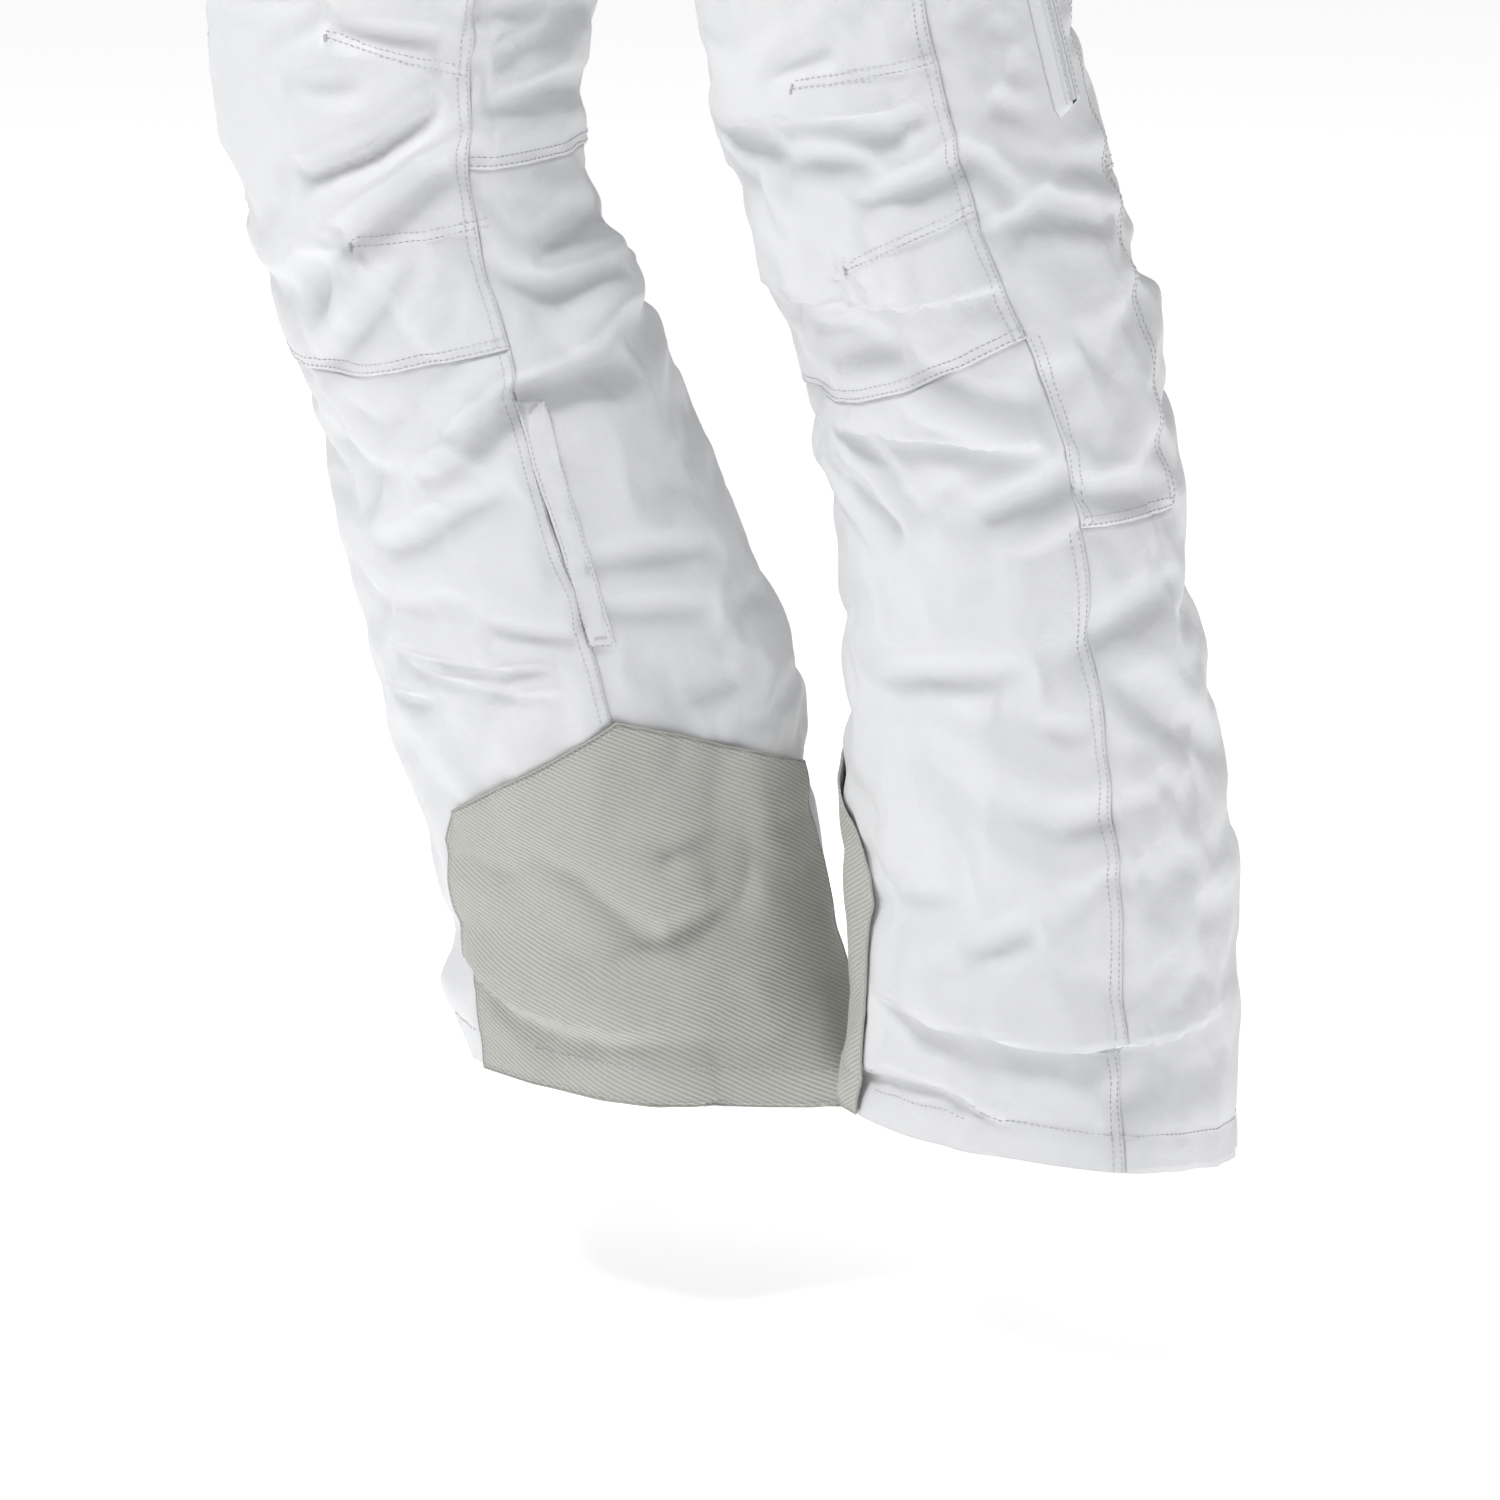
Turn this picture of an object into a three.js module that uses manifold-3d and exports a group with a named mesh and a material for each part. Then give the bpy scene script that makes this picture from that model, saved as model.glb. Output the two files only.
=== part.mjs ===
// Insulated ski pants, worn-size, in a walking stance: millimetres, +Z up, the wearer faces -Y.
// The origin is the middle of the waist opening; everything hangs below it.
import * as THREE from 'three';
import * as BufferGeometryUtils from 'three/addons/utils/BufferGeometryUtils.js';
import Module from 'manifold-3d';

const wasm = await Module();
wasm.setup();

// ---- Driving dimensions ---------------------------------------------------------------------

const SEAM_GAP = 0.5;            // air between two pieces that are sewn edge to edge
const PLY = 2.4;                 // face fabric with its insulation
const LINING_PLY = 1.6;
const LINING_CLEARANCE = 1.2;    // air between the face fabric and the lining

const WAIST_HALF_WIDTH = 162;
const WAIST_HALF_DEPTH = 118;
const HIP_HALF_WIDTH = 206;
const HIP_HALF_DEPTH = 142;
const HIP_DROP = 230;            // waist edge down to the fullest hip
const CROTCH_DROP = 285;         // waist edge down to the crotch seam
const FORK_HEIGHT = 145;         // height over which the rise seam curves down into the crotch
const INSEAM = 793;              // crotch down to the hem
const WAISTBAND_HEIGHT = 40;

const LEG_SPACING = 104;         // leg centre line out from the middle, at the thigh
const HEM_SPACING = 100;         // the same at the hem
const HEM_SLOPE = 0.15;          // how much the hem drops towards the heel
const HEM_SLOPE_HEIGHT = 130;    // height above the hem over which that drop fades out

// One leg strides forward and one back. Each station is a share of the inseam, the centre line's
// place towards the back, and the leg's half-width there.
const STRIDE = {
  left: [
    { at: -0.22, back: 0, radius: 104 },
    { at: -0.09, back: 12, radius: 104 },
    { at: 0.02, back: 38, radius: 103 },
    { at: 0.13, back: 66, radius: 101 },
    { at: 0.25, back: 90, radius: 100 },
    { at: 0.35, back: 112, radius: 103 },
    { at: 0.45, back: 143, radius: 99 },
    { at: 0.56, back: 162, radius: 95 },
    { at: 0.66, back: 172, radius: 96 },
    { at: 0.8, back: 184, radius: 106 },
    { at: 0.91, back: 188, radius: 103 },
    { at: 1, back: 186, radius: 108 },
  ],
  right: [
    { at: -0.22, back: 0, radius: 104 },
    { at: -0.09, back: -14, radius: 104 },
    { at: 0.02, back: -46, radius: 103 },
    { at: 0.13, back: -82, radius: 103 },
    { at: 0.25, back: -104, radius: 103 },
    { at: 0.35, back: -97, radius: 96 },
    { at: 0.45, back: -62, radius: 102 },
    { at: 0.56, back: -28, radius: 106 },
    { at: 0.68, back: 4, radius: 118 },
    { at: 0.8, back: 26, radius: 109 },
    { at: 0.91, back: 46, radius: 110 },
    { at: 1, back: 56, radius: 114 },
  ],
};

// Seam places around the leg, in degrees from the inner side: 90 is the front, 180 the outside.
const INNER_SEAM_THIGH = 3;
const INNER_SEAM_CALF = 19;
const OUTER_SEAM_THIGH = 165;
const OUTER_SEAM_CALF = 175;
const BACK_SEAM_THIGH = 240;
const BACK_SEAM_CALF = 221;
const SEAM_SHIFT_FROM = 0.3;     // share of the inseam where the long seams start to move forward
const SEAM_SHIFT_TO = 0.55;

// Cross seams, as drops below the waist edge.
const SEAT_SEAM_DROP = 540;      // bottom of the back thigh panel
const KNEE_SEAM_DROP = 621;      // bottom of the front thigh panel, halfway between its long seams' ends
const KNEE_SEAM_TILT = 15;       // lower than that at the inner seam, higher at the outer one
const KNEE_SEAM_DIP = 42;        // how much lower it runs over the middle of the shin
const KNEE_SEAM_REACH = (KNEE_SEAM_DIP + KNEE_SEAM_TILT) * 1.6; // how far off the grain still follows it
const SIDE_SEAM_DROP = 722;      // bottom of the outer side panel

// Scuff guard on the inside of each lower leg.
const GUARD_PLY = 1.8;
const GUARD_CLEARANCE = 1.7;
const GUARD_FRONT_TRIM = 0.6;     // share of a grid column cut off its front edge
const GUARD_APEX_RISE = 229;     // above the hem
const GUARD_FRONT_RISE = 150;
const GUARD_BACK_RISE = 183;

// Snow gaiter inside each hem.
const GAITER_TOP_RISE = 150;
const GAITER_BOTTOM_RISE = 8;
const GAITER_TOP_INSET = 12;     // in from the leg's outer face
const GAITER_BOTTOM_INSET = 26;
const GAITER_PLY = 1.2;
const ELASTIC_HEIGHT = 22;
const ELASTIC_PLY = 2.2;
const HOOK_WIDTH = 14;
const HOOK_LENGTH = 22;
const HOOK_PLY = 1.6;

// Zips: coil zips with a metal slider and a flat puller.
const TAPE_WIDTH = 15;
const TAPE_PLY = 1;
const COIL_WIDTH = 3.4;
const COIL_RISE = 0.9;
const SLIDER_LENGTH = 11;
const SLIDER_WIDTH = 7.4;
const SLIDER_RISE = 2.2;
const METAL_CORNER = 2.4;        // corner radius of slider and puller
const BAIL_WIDTH = 2.2;
const BAIL_BAR = 1.1;
const BAIL_HOLE_LENGTH = 2.6;
const BAIL_HOLE_RISE = 2.2;
const PULLER_WIDTH = 6;
const PULLER_LENGTH = 24;
const PULLER_PLY = 1.2;
const PULLER_WINDOW = 3.4;
const RUN_CLEARANCE = 0.4;       // between two parts that slide or turn on each other

const FLY_TOP_DROP = 52;
const FLY_LENGTH = 138;
const POCKET_TOP_DROP = 62;
const POCKET_LENGTH = 150;
const POCKET_PLACE = 0.31;       // share of the way round from the front middle to the back middle
const POCKET_BAG_WIDTH = 70;
const POCKET_BAG_DEPTH = 150;
const POCKET_BAG_PLY = 2;
const POCKET_BAG_DEPTH_IN = 1.4;  // air between the lining and the bag
const VENT_TOP_DROP = 296;
const VENT_LENGTH = 204;
const VENT_PLACE = 212;          // degrees

const SNAP_RADIUS = 8.5;
const SNAP_RISE = 2.4;
const LOOP_WIDTH = 11;
const LOOP_HEIGHT = 52;
const LOOP_PLY = 1.6;
const LOOP_FOOT = 7;             // length sewn down at each end
const LOOP_BEND = 1.5;
const LOOP_STANDOFF = 10;        // room for a padded belt
const LOOP_PLACES = { front: 0.13, side: 0.5 };
const TAB_LENGTH = 66;           // waist adjuster tab, with a hook pad behind it
const TAB_HEIGHT = 24;
const TAB_PLY = 1.6;
const TAB_PLACE = 0.6;           // where its sewn end is
const PAD_LENGTH = 50;
const PAD_HEIGHT = 18;
const PAD_PLY = 0.8;
const PATCH_CLEARANCE = 0.9;     // under a piece that lies on the face fabric
const FLAP_WIDTH = 120;          // seat pocket flap
const FLAP_HEIGHT = 46;
const FLAP_PLY = 1.8;
const FLAP_DROP = 92;
const FLAP_PLACE = 0.77;         // its middle
const PLACKET_TOP_DROP = 667;    // inner calf placket, between its bartacks
const PLACKET_LENGTH = 139;
const PLACKET_WIDTH = 15;
const PLACKET_PLY = 1.2;
const PLACKET_BEHIND = 0.85;     // share of its width behind the inner seam
const UNDERLAP_WIDTH = 42;       // wind flap behind the fly
const UNDERLAP_LENGTH = 146;
const UNDERLAP_PLY = 1.6;
const UNDERLAP_CORNER = 12;

const FRONT_COLUMNS = 8;
const SIDE_COLUMNS = 3;
const BACK_COLUMNS = 9;

// ---- Colours --------------------------------------------------------------------------------

function fabric(color, roughness) {
  return new THREE.MeshStandardMaterial({ color, roughness, metalness: 0 });
}

const SHELL_WHITE = fabric(0xe9eaec, 0.6);
const GUARD_GREY = fabric(0xb5b5af, 0.85);
const LINING_GREY = fabric(0xd4d6d9, 0.7);
const TAPE_WHITE = fabric(0xdcdde0, 0.7);
const COIL_METAL = new THREE.MeshStandardMaterial({ color: 0xb9bcc2, roughness: 0.35, metalness: 0.9 });
const RUBBER_GREY = fabric(0x8b8d90, 0.8);

// ---- Small maths ----------------------------------------------------------------------------

const { sin, cos, abs, sqrt, PI, min, max } = Math;
const TURN = 360;
const smooth = (x, from, to) => THREE.MathUtils.smoothstep(x, min(from, to), max(from, to));
const mix = THREE.MathUtils.lerp;

// A smooth value through the stations' values at a given share of the inseam.
function along(stations, at, key) {
  let i = 0;
  while (i < stations.length - 2 && stations[i + 1].at < at) i += 1;
  const [a, b] = [stations[i], stations[i + 1]];
  const before = stations[max(i - 1, 0)];
  const after = stations[min(i + 2, stations.length - 1)];
  const t = THREE.MathUtils.clamp((at - a.at) / (b.at - a.at), 0, 1);
  const span = b.at - a.at;
  const slopeA = ((b[key] - before[key]) / (b.at - before.at)) * span;
  const slopeB = ((after[key] - a[key]) / (after.at - a.at)) * span;
  const t2 = t * t;
  const t3 = t2 * t;
  return (2 * t3 - 3 * t2 + 1) * a[key] + (t3 - 2 * t2 + t) * slopeA
    + (3 * t2 - 2 * t3) * b[key] + (t3 - t2) * slopeB;
}

// ---- The garment's outer surface ------------------------------------------------------------

const HEM_Z = -(CROTCH_DROP + INSEAM);
const CROTCH_Z = -CROTCH_DROP;
const signOf = (side) => (side === 'left' ? 1 : -1);
const shareOfLeg = (z) => (CROTCH_Z - z) / INSEAM;

function trunkHalf(z) {
  const t = min(-z / HIP_DROP, 1);
  return {
    width: mix(WAIST_HALF_WIDTH, HIP_HALF_WIDTH, t),
    depth: mix(WAIST_HALF_DEPTH, HIP_HALF_DEPTH, t),
  };
}

// Height of a row at one place round the leg, once the hem's slope is added.
function hemDrop(z, towardsBack) {
  return -HEM_SLOPE * towardsBack * smooth(-z, -HEM_Z - HEM_SLOPE_HEIGHT, -HEM_Z);
}

// A point of the outer face: round goes 0 inner side, 0.25 front, 0.5 outside, 0.75 back, 1 inner.
function surfacePoint(side, round, z, inset = 0) {
  const at = shareOfLeg(z);
  const radius = along(STRIDE[side], at, 'radius') - inset;
  const shift = along(STRIDE[side], at, 'back');
  const spacing = mix(LEG_SPACING, HEM_SPACING, THREE.MathUtils.clamp(at, 0, 1));
  const turn = 2 * PI * round;
  const legX = spacing - min(radius, spacing + max(at, 0) * INSEAM) * cos(turn);
  const legY = -radius * sin(turn);
  const trunk = trunkHalf(z);
  const rise = THREE.MathUtils.clamp((z - CROTCH_Z) / FORK_HEIGHT, 0, 1);
  const blend = sqrt(1 - (1 - rise) ** 2);
  const x = mix(legX, (trunk.width - inset) * sin(PI * round), blend);
  const y = mix(legY, -(trunk.depth - inset) * cos(PI * round), blend);
  const pinned = smooth(at, 0, 0.16);
  const moved = shift * mix(sin(PI * round) ** 2, 1, pinned);
  return new THREE.Vector3(signOf(side) * (SEAM_GAP / 2 + max(x, 0)), y + moved, z + hemDrop(z, y));
}

const NUDGE = 0.002;

function surfaceNormal(side, round, z, inset = 0) {
  const before = surfacePoint(side, max(round - NUDGE, 0), z, inset);
  const after = surfacePoint(side, min(round + NUDGE, 1), z, inset);
  const below = surfacePoint(side, round, z - 1, inset);
  const above = surfacePoint(side, round, z + 1, inset);
  const normal = after.sub(before).cross(above.sub(below)).normalize();
  return normal.multiplyScalar(signOf(side));
}

// ---- Panels cut from that surface -----------------------------------------------------------

function seamPlace(z, thigh, calf) {
  const at = shareOfLeg(z);
  return mix(thigh, calf, smooth(at, SEAM_SHIFT_FROM, SEAM_SHIFT_TO)) * smooth(at, -0.02, 0.16)
    / TURN;
}

// Above the fork the inner seam becomes the rise seam, so its place eases to the panel edge.
const innerSeam = (z) => seamPlace(z, INNER_SEAM_THIGH, INNER_SEAM_CALF);
const outerSeam = (z) => mix(OUTER_SEAM_THIGH, OUTER_SEAM_CALF,
  smooth(shareOfLeg(z), SEAM_SHIFT_FROM, SEAM_SHIFT_TO)) / TURN;
const backSeam = (z) => mix(BACK_SEAM_THIGH, BACK_SEAM_CALF,
  smooth(shareOfLeg(z), SEAM_SHIFT_FROM, SEAM_SHIFT_TO)) / TURN;

const COLUMNS = FRONT_COLUMNS + SIDE_COLUMNS + BACK_COLUMNS;

// Column lines follow the long seams: inner, outer, back, and the inner again.
function columnPlace(column, z) {
  if (column <= FRONT_COLUMNS) return mix(innerSeam(z), outerSeam(z), column / FRONT_COLUMNS);
  const past = column - FRONT_COLUMNS;
  if (past <= SIDE_COLUMNS) return mix(outerSeam(z), backSeam(z), past / SIDE_COLUMNS);
  return mix(backSeam(z), 1 + innerSeam(z), (past - SIDE_COLUMNS) / BACK_COLUMNS);
}

// Row lines: the cross seams are rows, from the highest down, with even rows between them.
const ROW_SPACING = 60;
const HIP_ROWS = 2;

function rowsBetween(from, to, count = Math.ceil(abs(to - from) / ROW_SPACING)) {
  return Array.from({ length: count }, (_, i) => mix(from, to, i / count));
}

const FORK_ROWS = [0.9, 0.55, 0.28, 0.11, 0.03].map((share) => CROTCH_Z + share * FORK_HEIGHT);
const CROSS_SEAMS = [-SEAT_SEAM_DROP, -KNEE_SEAM_DROP, -SIDE_SEAM_DROP].sort((a, b) => b - a);
const LEG_LEVELS = [CROTCH_Z, ...CROSS_SEAMS, HEM_Z];
const ROWS = [
  0,
  -WAISTBAND_HEIGHT,
  ...rowsBetween(-WAISTBAND_HEIGHT, FORK_ROWS[0], HIP_ROWS).slice(1),
  ...FORK_ROWS,
  ...LEG_LEVELS.slice(1).flatMap((level, i) => rowsBetween(LEG_LEVELS[i], level)),
  HEM_Z,
];
const rowAt = (z) => ROWS.findIndex((row) => abs(row - z) < 0.01);
const BAND_ROW = rowAt(-WAISTBAND_HEIGHT);
const SEAT_ROW = rowAt(-SEAT_SEAM_DROP);
const KNEE_ROW = rowAt(-KNEE_SEAM_DROP);
const SIDE_ROW = rowAt(-SIDE_SEAM_DROP);
const HEM_ROW = ROWS.length - 1;

// The knee seam dips over the shin, and the rows near it follow.
function rowHeight(row, column) {
  const reach = 1 - smooth(abs(ROWS[row] + KNEE_SEAM_DROP), 0, KNEE_SEAM_REACH);
  const inFront = column < FRONT_COLUMNS;
  const dip = inFront ? KNEE_SEAM_DIP * sin((PI * column) / FRONT_COLUMNS) : 0;
  const turned = inFront ? column / FRONT_COLUMNS
    : 1 - (column - FRONT_COLUMNS) / (COLUMNS - FRONT_COLUMNS);
  return ROWS[row] + (mix(-KNEE_SEAM_TILT, KNEE_SEAM_TILT, turned) - dip) * reach;
}

// A closed shell over the grid cells that a test picks, between two depths under the surface.
function shellOverCells(columns, rows, picked, pointAt) {
  const inside = (c, r) => c >= 0 && r >= 0 && c < columns && r < rows && picked(c, r);
  const index = new Map();
  const positions = [];
  const vertex = (c, r, face) => {
    const key = `${c},${r},${face}`;
    if (!index.has(key)) {
      const left = inside(c - 1, r - 1) + inside(c - 1, r);
      const right = inside(c, r - 1) + inside(c, r);
      const above = inside(c - 1, r - 1) + inside(c, r - 1);
      const below = inside(c - 1, r) + inside(c, r);
      const point = pointAt(c, r, face, Math.sign(right - left), Math.sign(below - above));
      index.set(key, positions.length / 3);
      positions.push(point.x, point.y, point.z);
    }
    return index.get(key);
  };
  const triangles = [];
  const quad = (a, b, c, d) => triangles.push(a, b, c, a, c, d);
  for (let c = 0; c < columns; c += 1) {
    for (let r = 0; r < rows; r += 1) {
      if (!inside(c, r)) continue;
      const [a, b, d, e] = [[c, r], [c, r + 1], [c + 1, r + 1], [c + 1, r]];
      quad(vertex(...a, 0), vertex(...b, 0), vertex(...d, 0), vertex(...e, 0));
      quad(vertex(...a, 1), vertex(...e, 1), vertex(...d, 1), vertex(...b, 1));
      const rim = (p, q) => quad(vertex(...p, 1), vertex(...q, 1), vertex(...q, 0), vertex(...p, 0));
      if (!inside(c - 1, r)) rim(a, b);
      if (!inside(c, r + 1)) rim(b, d);
      if (!inside(c + 1, r)) rim(d, e);
      if (!inside(c, r - 1)) rim(e, a);
    }
  }
  const geometry = new THREE.BufferGeometry();
  geometry.setAttribute('position', new THREE.Float32BufferAttribute(positions, 3));
  geometry.setIndex(triangles);
  return geometry;
}

// Mirrored pieces come out inside-out, so their triangles are turned round.
function turnedOutward(geometry, side) {
  if (side === 'left') return geometry;
  const index = geometry.getIndex();
  for (let i = 0; i < index.count; i += 3) {
    const first = index.getX(i);
    index.setX(i, index.getX(i + 1));
    index.setX(i + 1, first);
  }
  return geometry;
}

// A sewn panel of the leg: its cells on the grid, and its outer and inner depth.
function legPanel(side, picked, outer = 0, inner = PLY) {
  const geometry = shellOverCells(COLUMNS, HEM_ROW, picked, (column, row, face, right, down) => {
    const z = rowHeight(row, column) - (down * SEAM_GAP) / 2;
    const girth = 2 * PI * LEG_SPACING;
    const round = columnPlace(column, z) + (right * SEAM_GAP) / 2 / girth;
    const kept = THREE.MathUtils.clamp(round, 0, round > 1 && z > CROTCH_Z - 1 ? 1 : 2);
    const wrapped = kept > 1 ? kept - 1 : kept;
    const depth = face === 0 ? outer : inner;
    const point = surfacePoint(side, wrapped, z);
    return point.addScaledVector(surfaceNormal(side, wrapped, z), -depth);
  });
  return turnedOutward(geometry, side);
}

// ---- Assembly helpers -----------------------------------------------------------------------

const pants = new THREE.Group();
pants.name = 'ski_pants';

function addPiece(name, geometry, material, frame = null) {
  const piece = new THREE.Mesh(geometry, material);
  piece.name = name;
  if (frame) piece.applyMatrix4(frame);
  pants.add(piece);
  return piece;
}

function toSolid(geometry) {
  const bare = geometry.clone();
  bare.deleteAttribute('normal');
  bare.deleteAttribute('uv');
  const merged = BufferGeometryUtils.mergeVertices(bare, 1e-4);
  return new wasm.Manifold(new wasm.Mesh({
    numProp: 3,
    vertProperties: Float32Array.from(merged.getAttribute('position').array),
    triVerts: Uint32Array.from(merged.getIndex().array),
  }));
}

function fromSolid(solid) {
  const { vertProperties, triVerts } = solid.getMesh();
  const geometry = new THREE.BufferGeometry();
  geometry.setAttribute('position', new THREE.Float32BufferAttribute(vertProperties, 3));
  geometry.setIndex(Array.from(triVerts));
  return geometry;
}

const joined = (first, ...rest) => fromSolid(rest.reduce((sum, g) => sum.add(toSolid(g)), toSolid(first)));

// A flat plate with its outline in X and Y, standing on Z = 0.
function plate(shape, thickness, curveSegments = 6) {
  return new THREE.ExtrudeGeometry(shape, { depth: thickness, bevelEnabled: false, curveSegments });
}

function roundedOutline(length, width, radius) {
  const shape = new THREE.Shape();
  const [x, y] = [length / 2, width / 2];
  const r = min(radius, x * 0.98, y * 0.98);
  shape.moveTo(-x + r, -y).lineTo(x - r, -y).absarc(x - r, -y + r, r, -PI / 2, 0, false);
  shape.lineTo(x, y - r).absarc(x - r, y - r, r, 0, PI / 2, false);
  shape.lineTo(-x + r, y).absarc(-x + r, y - r, r, PI / 2, PI, false);
  shape.lineTo(-x, -y + r).absarc(-x + r, -y + r, r, PI, 1.5 * PI, false);
  return shape;
}

// A frame whose X runs along the track, Y across it and Z out of the garment.
function frameOn(origin, track, outward) {
  const x = track.clone().normalize();
  const z = outward.clone().addScaledVector(x, -outward.dot(x)).normalize();
  const y = z.clone().cross(x);
  return new THREE.Matrix4().makeBasis(x, y, z).setPosition(origin);
}

const lifted = (frame, x, y, z) => frame.clone().multiply(new THREE.Matrix4().makeTranslation(x, y, z));

// ---- Zips -----------------------------------------------------------------------------------

function zipTape(length) {
  const section = new THREE.Shape();
  const [w, c] = [TAPE_WIDTH / 2, COIL_WIDTH / 2];
  section.moveTo(-w, 0).lineTo(w, 0).lineTo(w, TAPE_PLY).lineTo(c, TAPE_PLY);
  section.lineTo(c * 0.7, TAPE_PLY + COIL_RISE).lineTo(-c * 0.7, TAPE_PLY + COIL_RISE);
  section.lineTo(-c, TAPE_PLY).lineTo(-w, TAPE_PLY).closePath();
  const tape = new THREE.ExtrudeGeometry(section, { depth: length, bevelEnabled: false });
  return tape.rotateX(PI / 2).rotateZ(PI / 2);
}

const AXIS_RISE = SLIDER_RISE + BAIL_HOLE_RISE / 2;

function zipSlider() {
  const body = plate(roundedOutline(SLIDER_LENGTH, SLIDER_WIDTH, METAL_CORNER), SLIDER_RISE);
  const arch = new THREE.Shape();
  const reach = BAIL_HOLE_LENGTH / 2 + BAIL_BAR;
  const top = SLIDER_RISE + BAIL_HOLE_RISE + BAIL_BAR;
  const foot = SLIDER_RISE - 0.5;
  arch.moveTo(-reach, foot).lineTo(reach, foot).lineTo(reach, top - 0.5).lineTo(reach - 0.5, top);
  arch.lineTo(-reach + 0.5, top).lineTo(-reach, top - 0.5).closePath();
  const eye = new THREE.Path();
  const [ex, low, high] = [BAIL_HOLE_LENGTH / 2, SLIDER_RISE, SLIDER_RISE + BAIL_HOLE_RISE];
  eye.moveTo(-ex, low).lineTo(-ex, high).lineTo(ex, high).lineTo(ex, low).closePath();
  arch.holes.push(eye);
  const bail = new THREE.ExtrudeGeometry(arch, { depth: BAIL_WIDTH, bevelEnabled: false });
  bail.rotateX(PI / 2).translate(0, BAIL_WIDTH / 2, 0);
  return joined(body, bail);
}

// The puller's end bar runs through the slider's bail, at the local origin.
function zipPuller() {
  const bar = PULLER_PLY / 2;
  const outline = roundedOutline(PULLER_LENGTH, PULLER_WIDTH, METAL_CORNER);
  const window = new THREE.Path();
  const shift = PULLER_LENGTH / 2 - bar;
  const [near, far, half] = [bar - shift, bar - shift + PULLER_WINDOW, BAIL_WIDTH / 2 + RUN_CLEARANCE];
  window.moveTo(near, -half).lineTo(near, half).lineTo(far, half).lineTo(far, -half).closePath();
  outline.holes.push(window);
  return plate(outline, PULLER_PLY).translate(shift, 0, -PULLER_PLY / 2);
}

// A straight zip with its slider parked at the closed end, which is the frame's origin side.
function addZip(name, frame, length) {
  addPiece(`${name}_zip`, zipTape(length), TAPE_WHITE, frame);
  const seat = TAPE_PLY + COIL_RISE + RUN_CLEARANCE;
  const parked = SLIDER_LENGTH / 2 + 1;
  addPiece(`${name}_slider`, zipSlider(), COIL_METAL, lifted(frame, parked, 0, seat));
  addPiece(`${name}_puller`, zipPuller(), COIL_METAL, lifted(frame, parked, 0, seat + AXIS_RISE));
}

// A straight line laid on the garment between two heights, clear of the fabric all along.
function trackOn(side, round, topDrop, length) {
  const start = surfacePoint(side, round, -topDrop);
  const end = surfacePoint(side, round, -topDrop - length);
  const track = end.clone().sub(start).normalize();
  const outward = surfaceNormal(side, round, -topDrop - length / 2);
  outward.addScaledVector(track, -outward.dot(track)).normalize();
  const checks = [0, 0.25, 0.5, 0.75, 1];
  const lift = max(...checks.map((share) => surfacePoint(side, round, -topDrop - share * length)
    .sub(start).dot(outward)));
  return frameOn(start.addScaledVector(outward, lift + RUN_CLEARANCE * 2), track, outward);
}

// ---- Shell panels ---------------------------------------------------------------------------

const isFront = (c) => c < FRONT_COLUMNS;
const isSide = (c) => c >= FRONT_COLUMNS && c < FRONT_COLUMNS + SIDE_COLUMNS;
const isBack = (c) => c >= FRONT_COLUMNS + SIDE_COLUMNS;

function addPanels(side) {
  const cells = {
    front_panel: (c, r) => isFront(c) && r >= BAND_ROW && r < KNEE_ROW,
    shin_panel: (c, r) => isFront(c) && r >= KNEE_ROW,
    side_panel: (c, r) => isSide(c) && r >= BAND_ROW && r < SIDE_ROW,
    seat_panel: (c, r) => isBack(c) && r >= BAND_ROW && r < SEAT_ROW,
    calf_panel: (c, r) => (isBack(c) && r >= SEAT_ROW) || (isSide(c) && r >= SIDE_ROW),
    waistband: (c, r) => r < BAND_ROW,
  };
  for (const [name, chosen] of Object.entries(cells)) {
    addPiece(`${name}_${side}`, legPanel(side, chosen), SHELL_WHITE);
  }
  const liningTop = PLY + LINING_CLEARANCE;
  const lined = (c, r) => r >= BAND_ROW && r < HEM_ROW - 1;
  addPiece(`lining_${side}`, legPanel(side, lined, liningTop, liningTop + LINING_PLY), LINING_GREY);
}

// ---- Scuff guard ----------------------------------------------------------------------------

const GUARD_ROWS = 4;

// Columns of the leg grid that the guard follows: back edge, seam with the apex, front edge.
const GUARD_BACK_COLUMNS = 4;
const GUARD_FRONT_COLUMNS = 4;

function addGuard(side) {
  const columns = GUARD_BACK_COLUMNS + GUARD_FRONT_COLUMNS;
  const placeAt = (column, z) => {
    const step = column - GUARD_BACK_COLUMNS;
    if (step < 0) return columnPlace(COLUMNS + step, z);
    return columnPlace(step === GUARD_FRONT_COLUMNS ? step - GUARD_FRONT_TRIM : step, z);
  };
  const topRise = (column) => (column > GUARD_BACK_COLUMNS
    ? mix(GUARD_APEX_RISE, GUARD_FRONT_RISE, (column - GUARD_BACK_COLUMNS) / GUARD_FRONT_COLUMNS)
    : mix(GUARD_BACK_RISE, GUARD_APEX_RISE, column / GUARD_BACK_COLUMNS));
  const geometry = shellOverCells(columns, GUARD_ROWS, () => true, (column, row, face) => {
    const z = HEM_Z + topRise(column) * (1 - row / GUARD_ROWS);
    const round = placeAt(column, z);
    const wrapped = round > 1 ? round - 1 : round;
    const lift = GUARD_CLEARANCE + (face === 0 ? GUARD_PLY : 0);
    return surfacePoint(side, wrapped, z).addScaledVector(surfaceNormal(side, wrapped, z), lift);
  });
  addPiece(`scuff_guard_${side}`, turnedOutward(geometry, side), GUARD_GREY);
}

// ---- Snow gaiter, its grip elastic and the lace hook ----------------------------------------

const RING_STEPS = 24;

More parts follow.
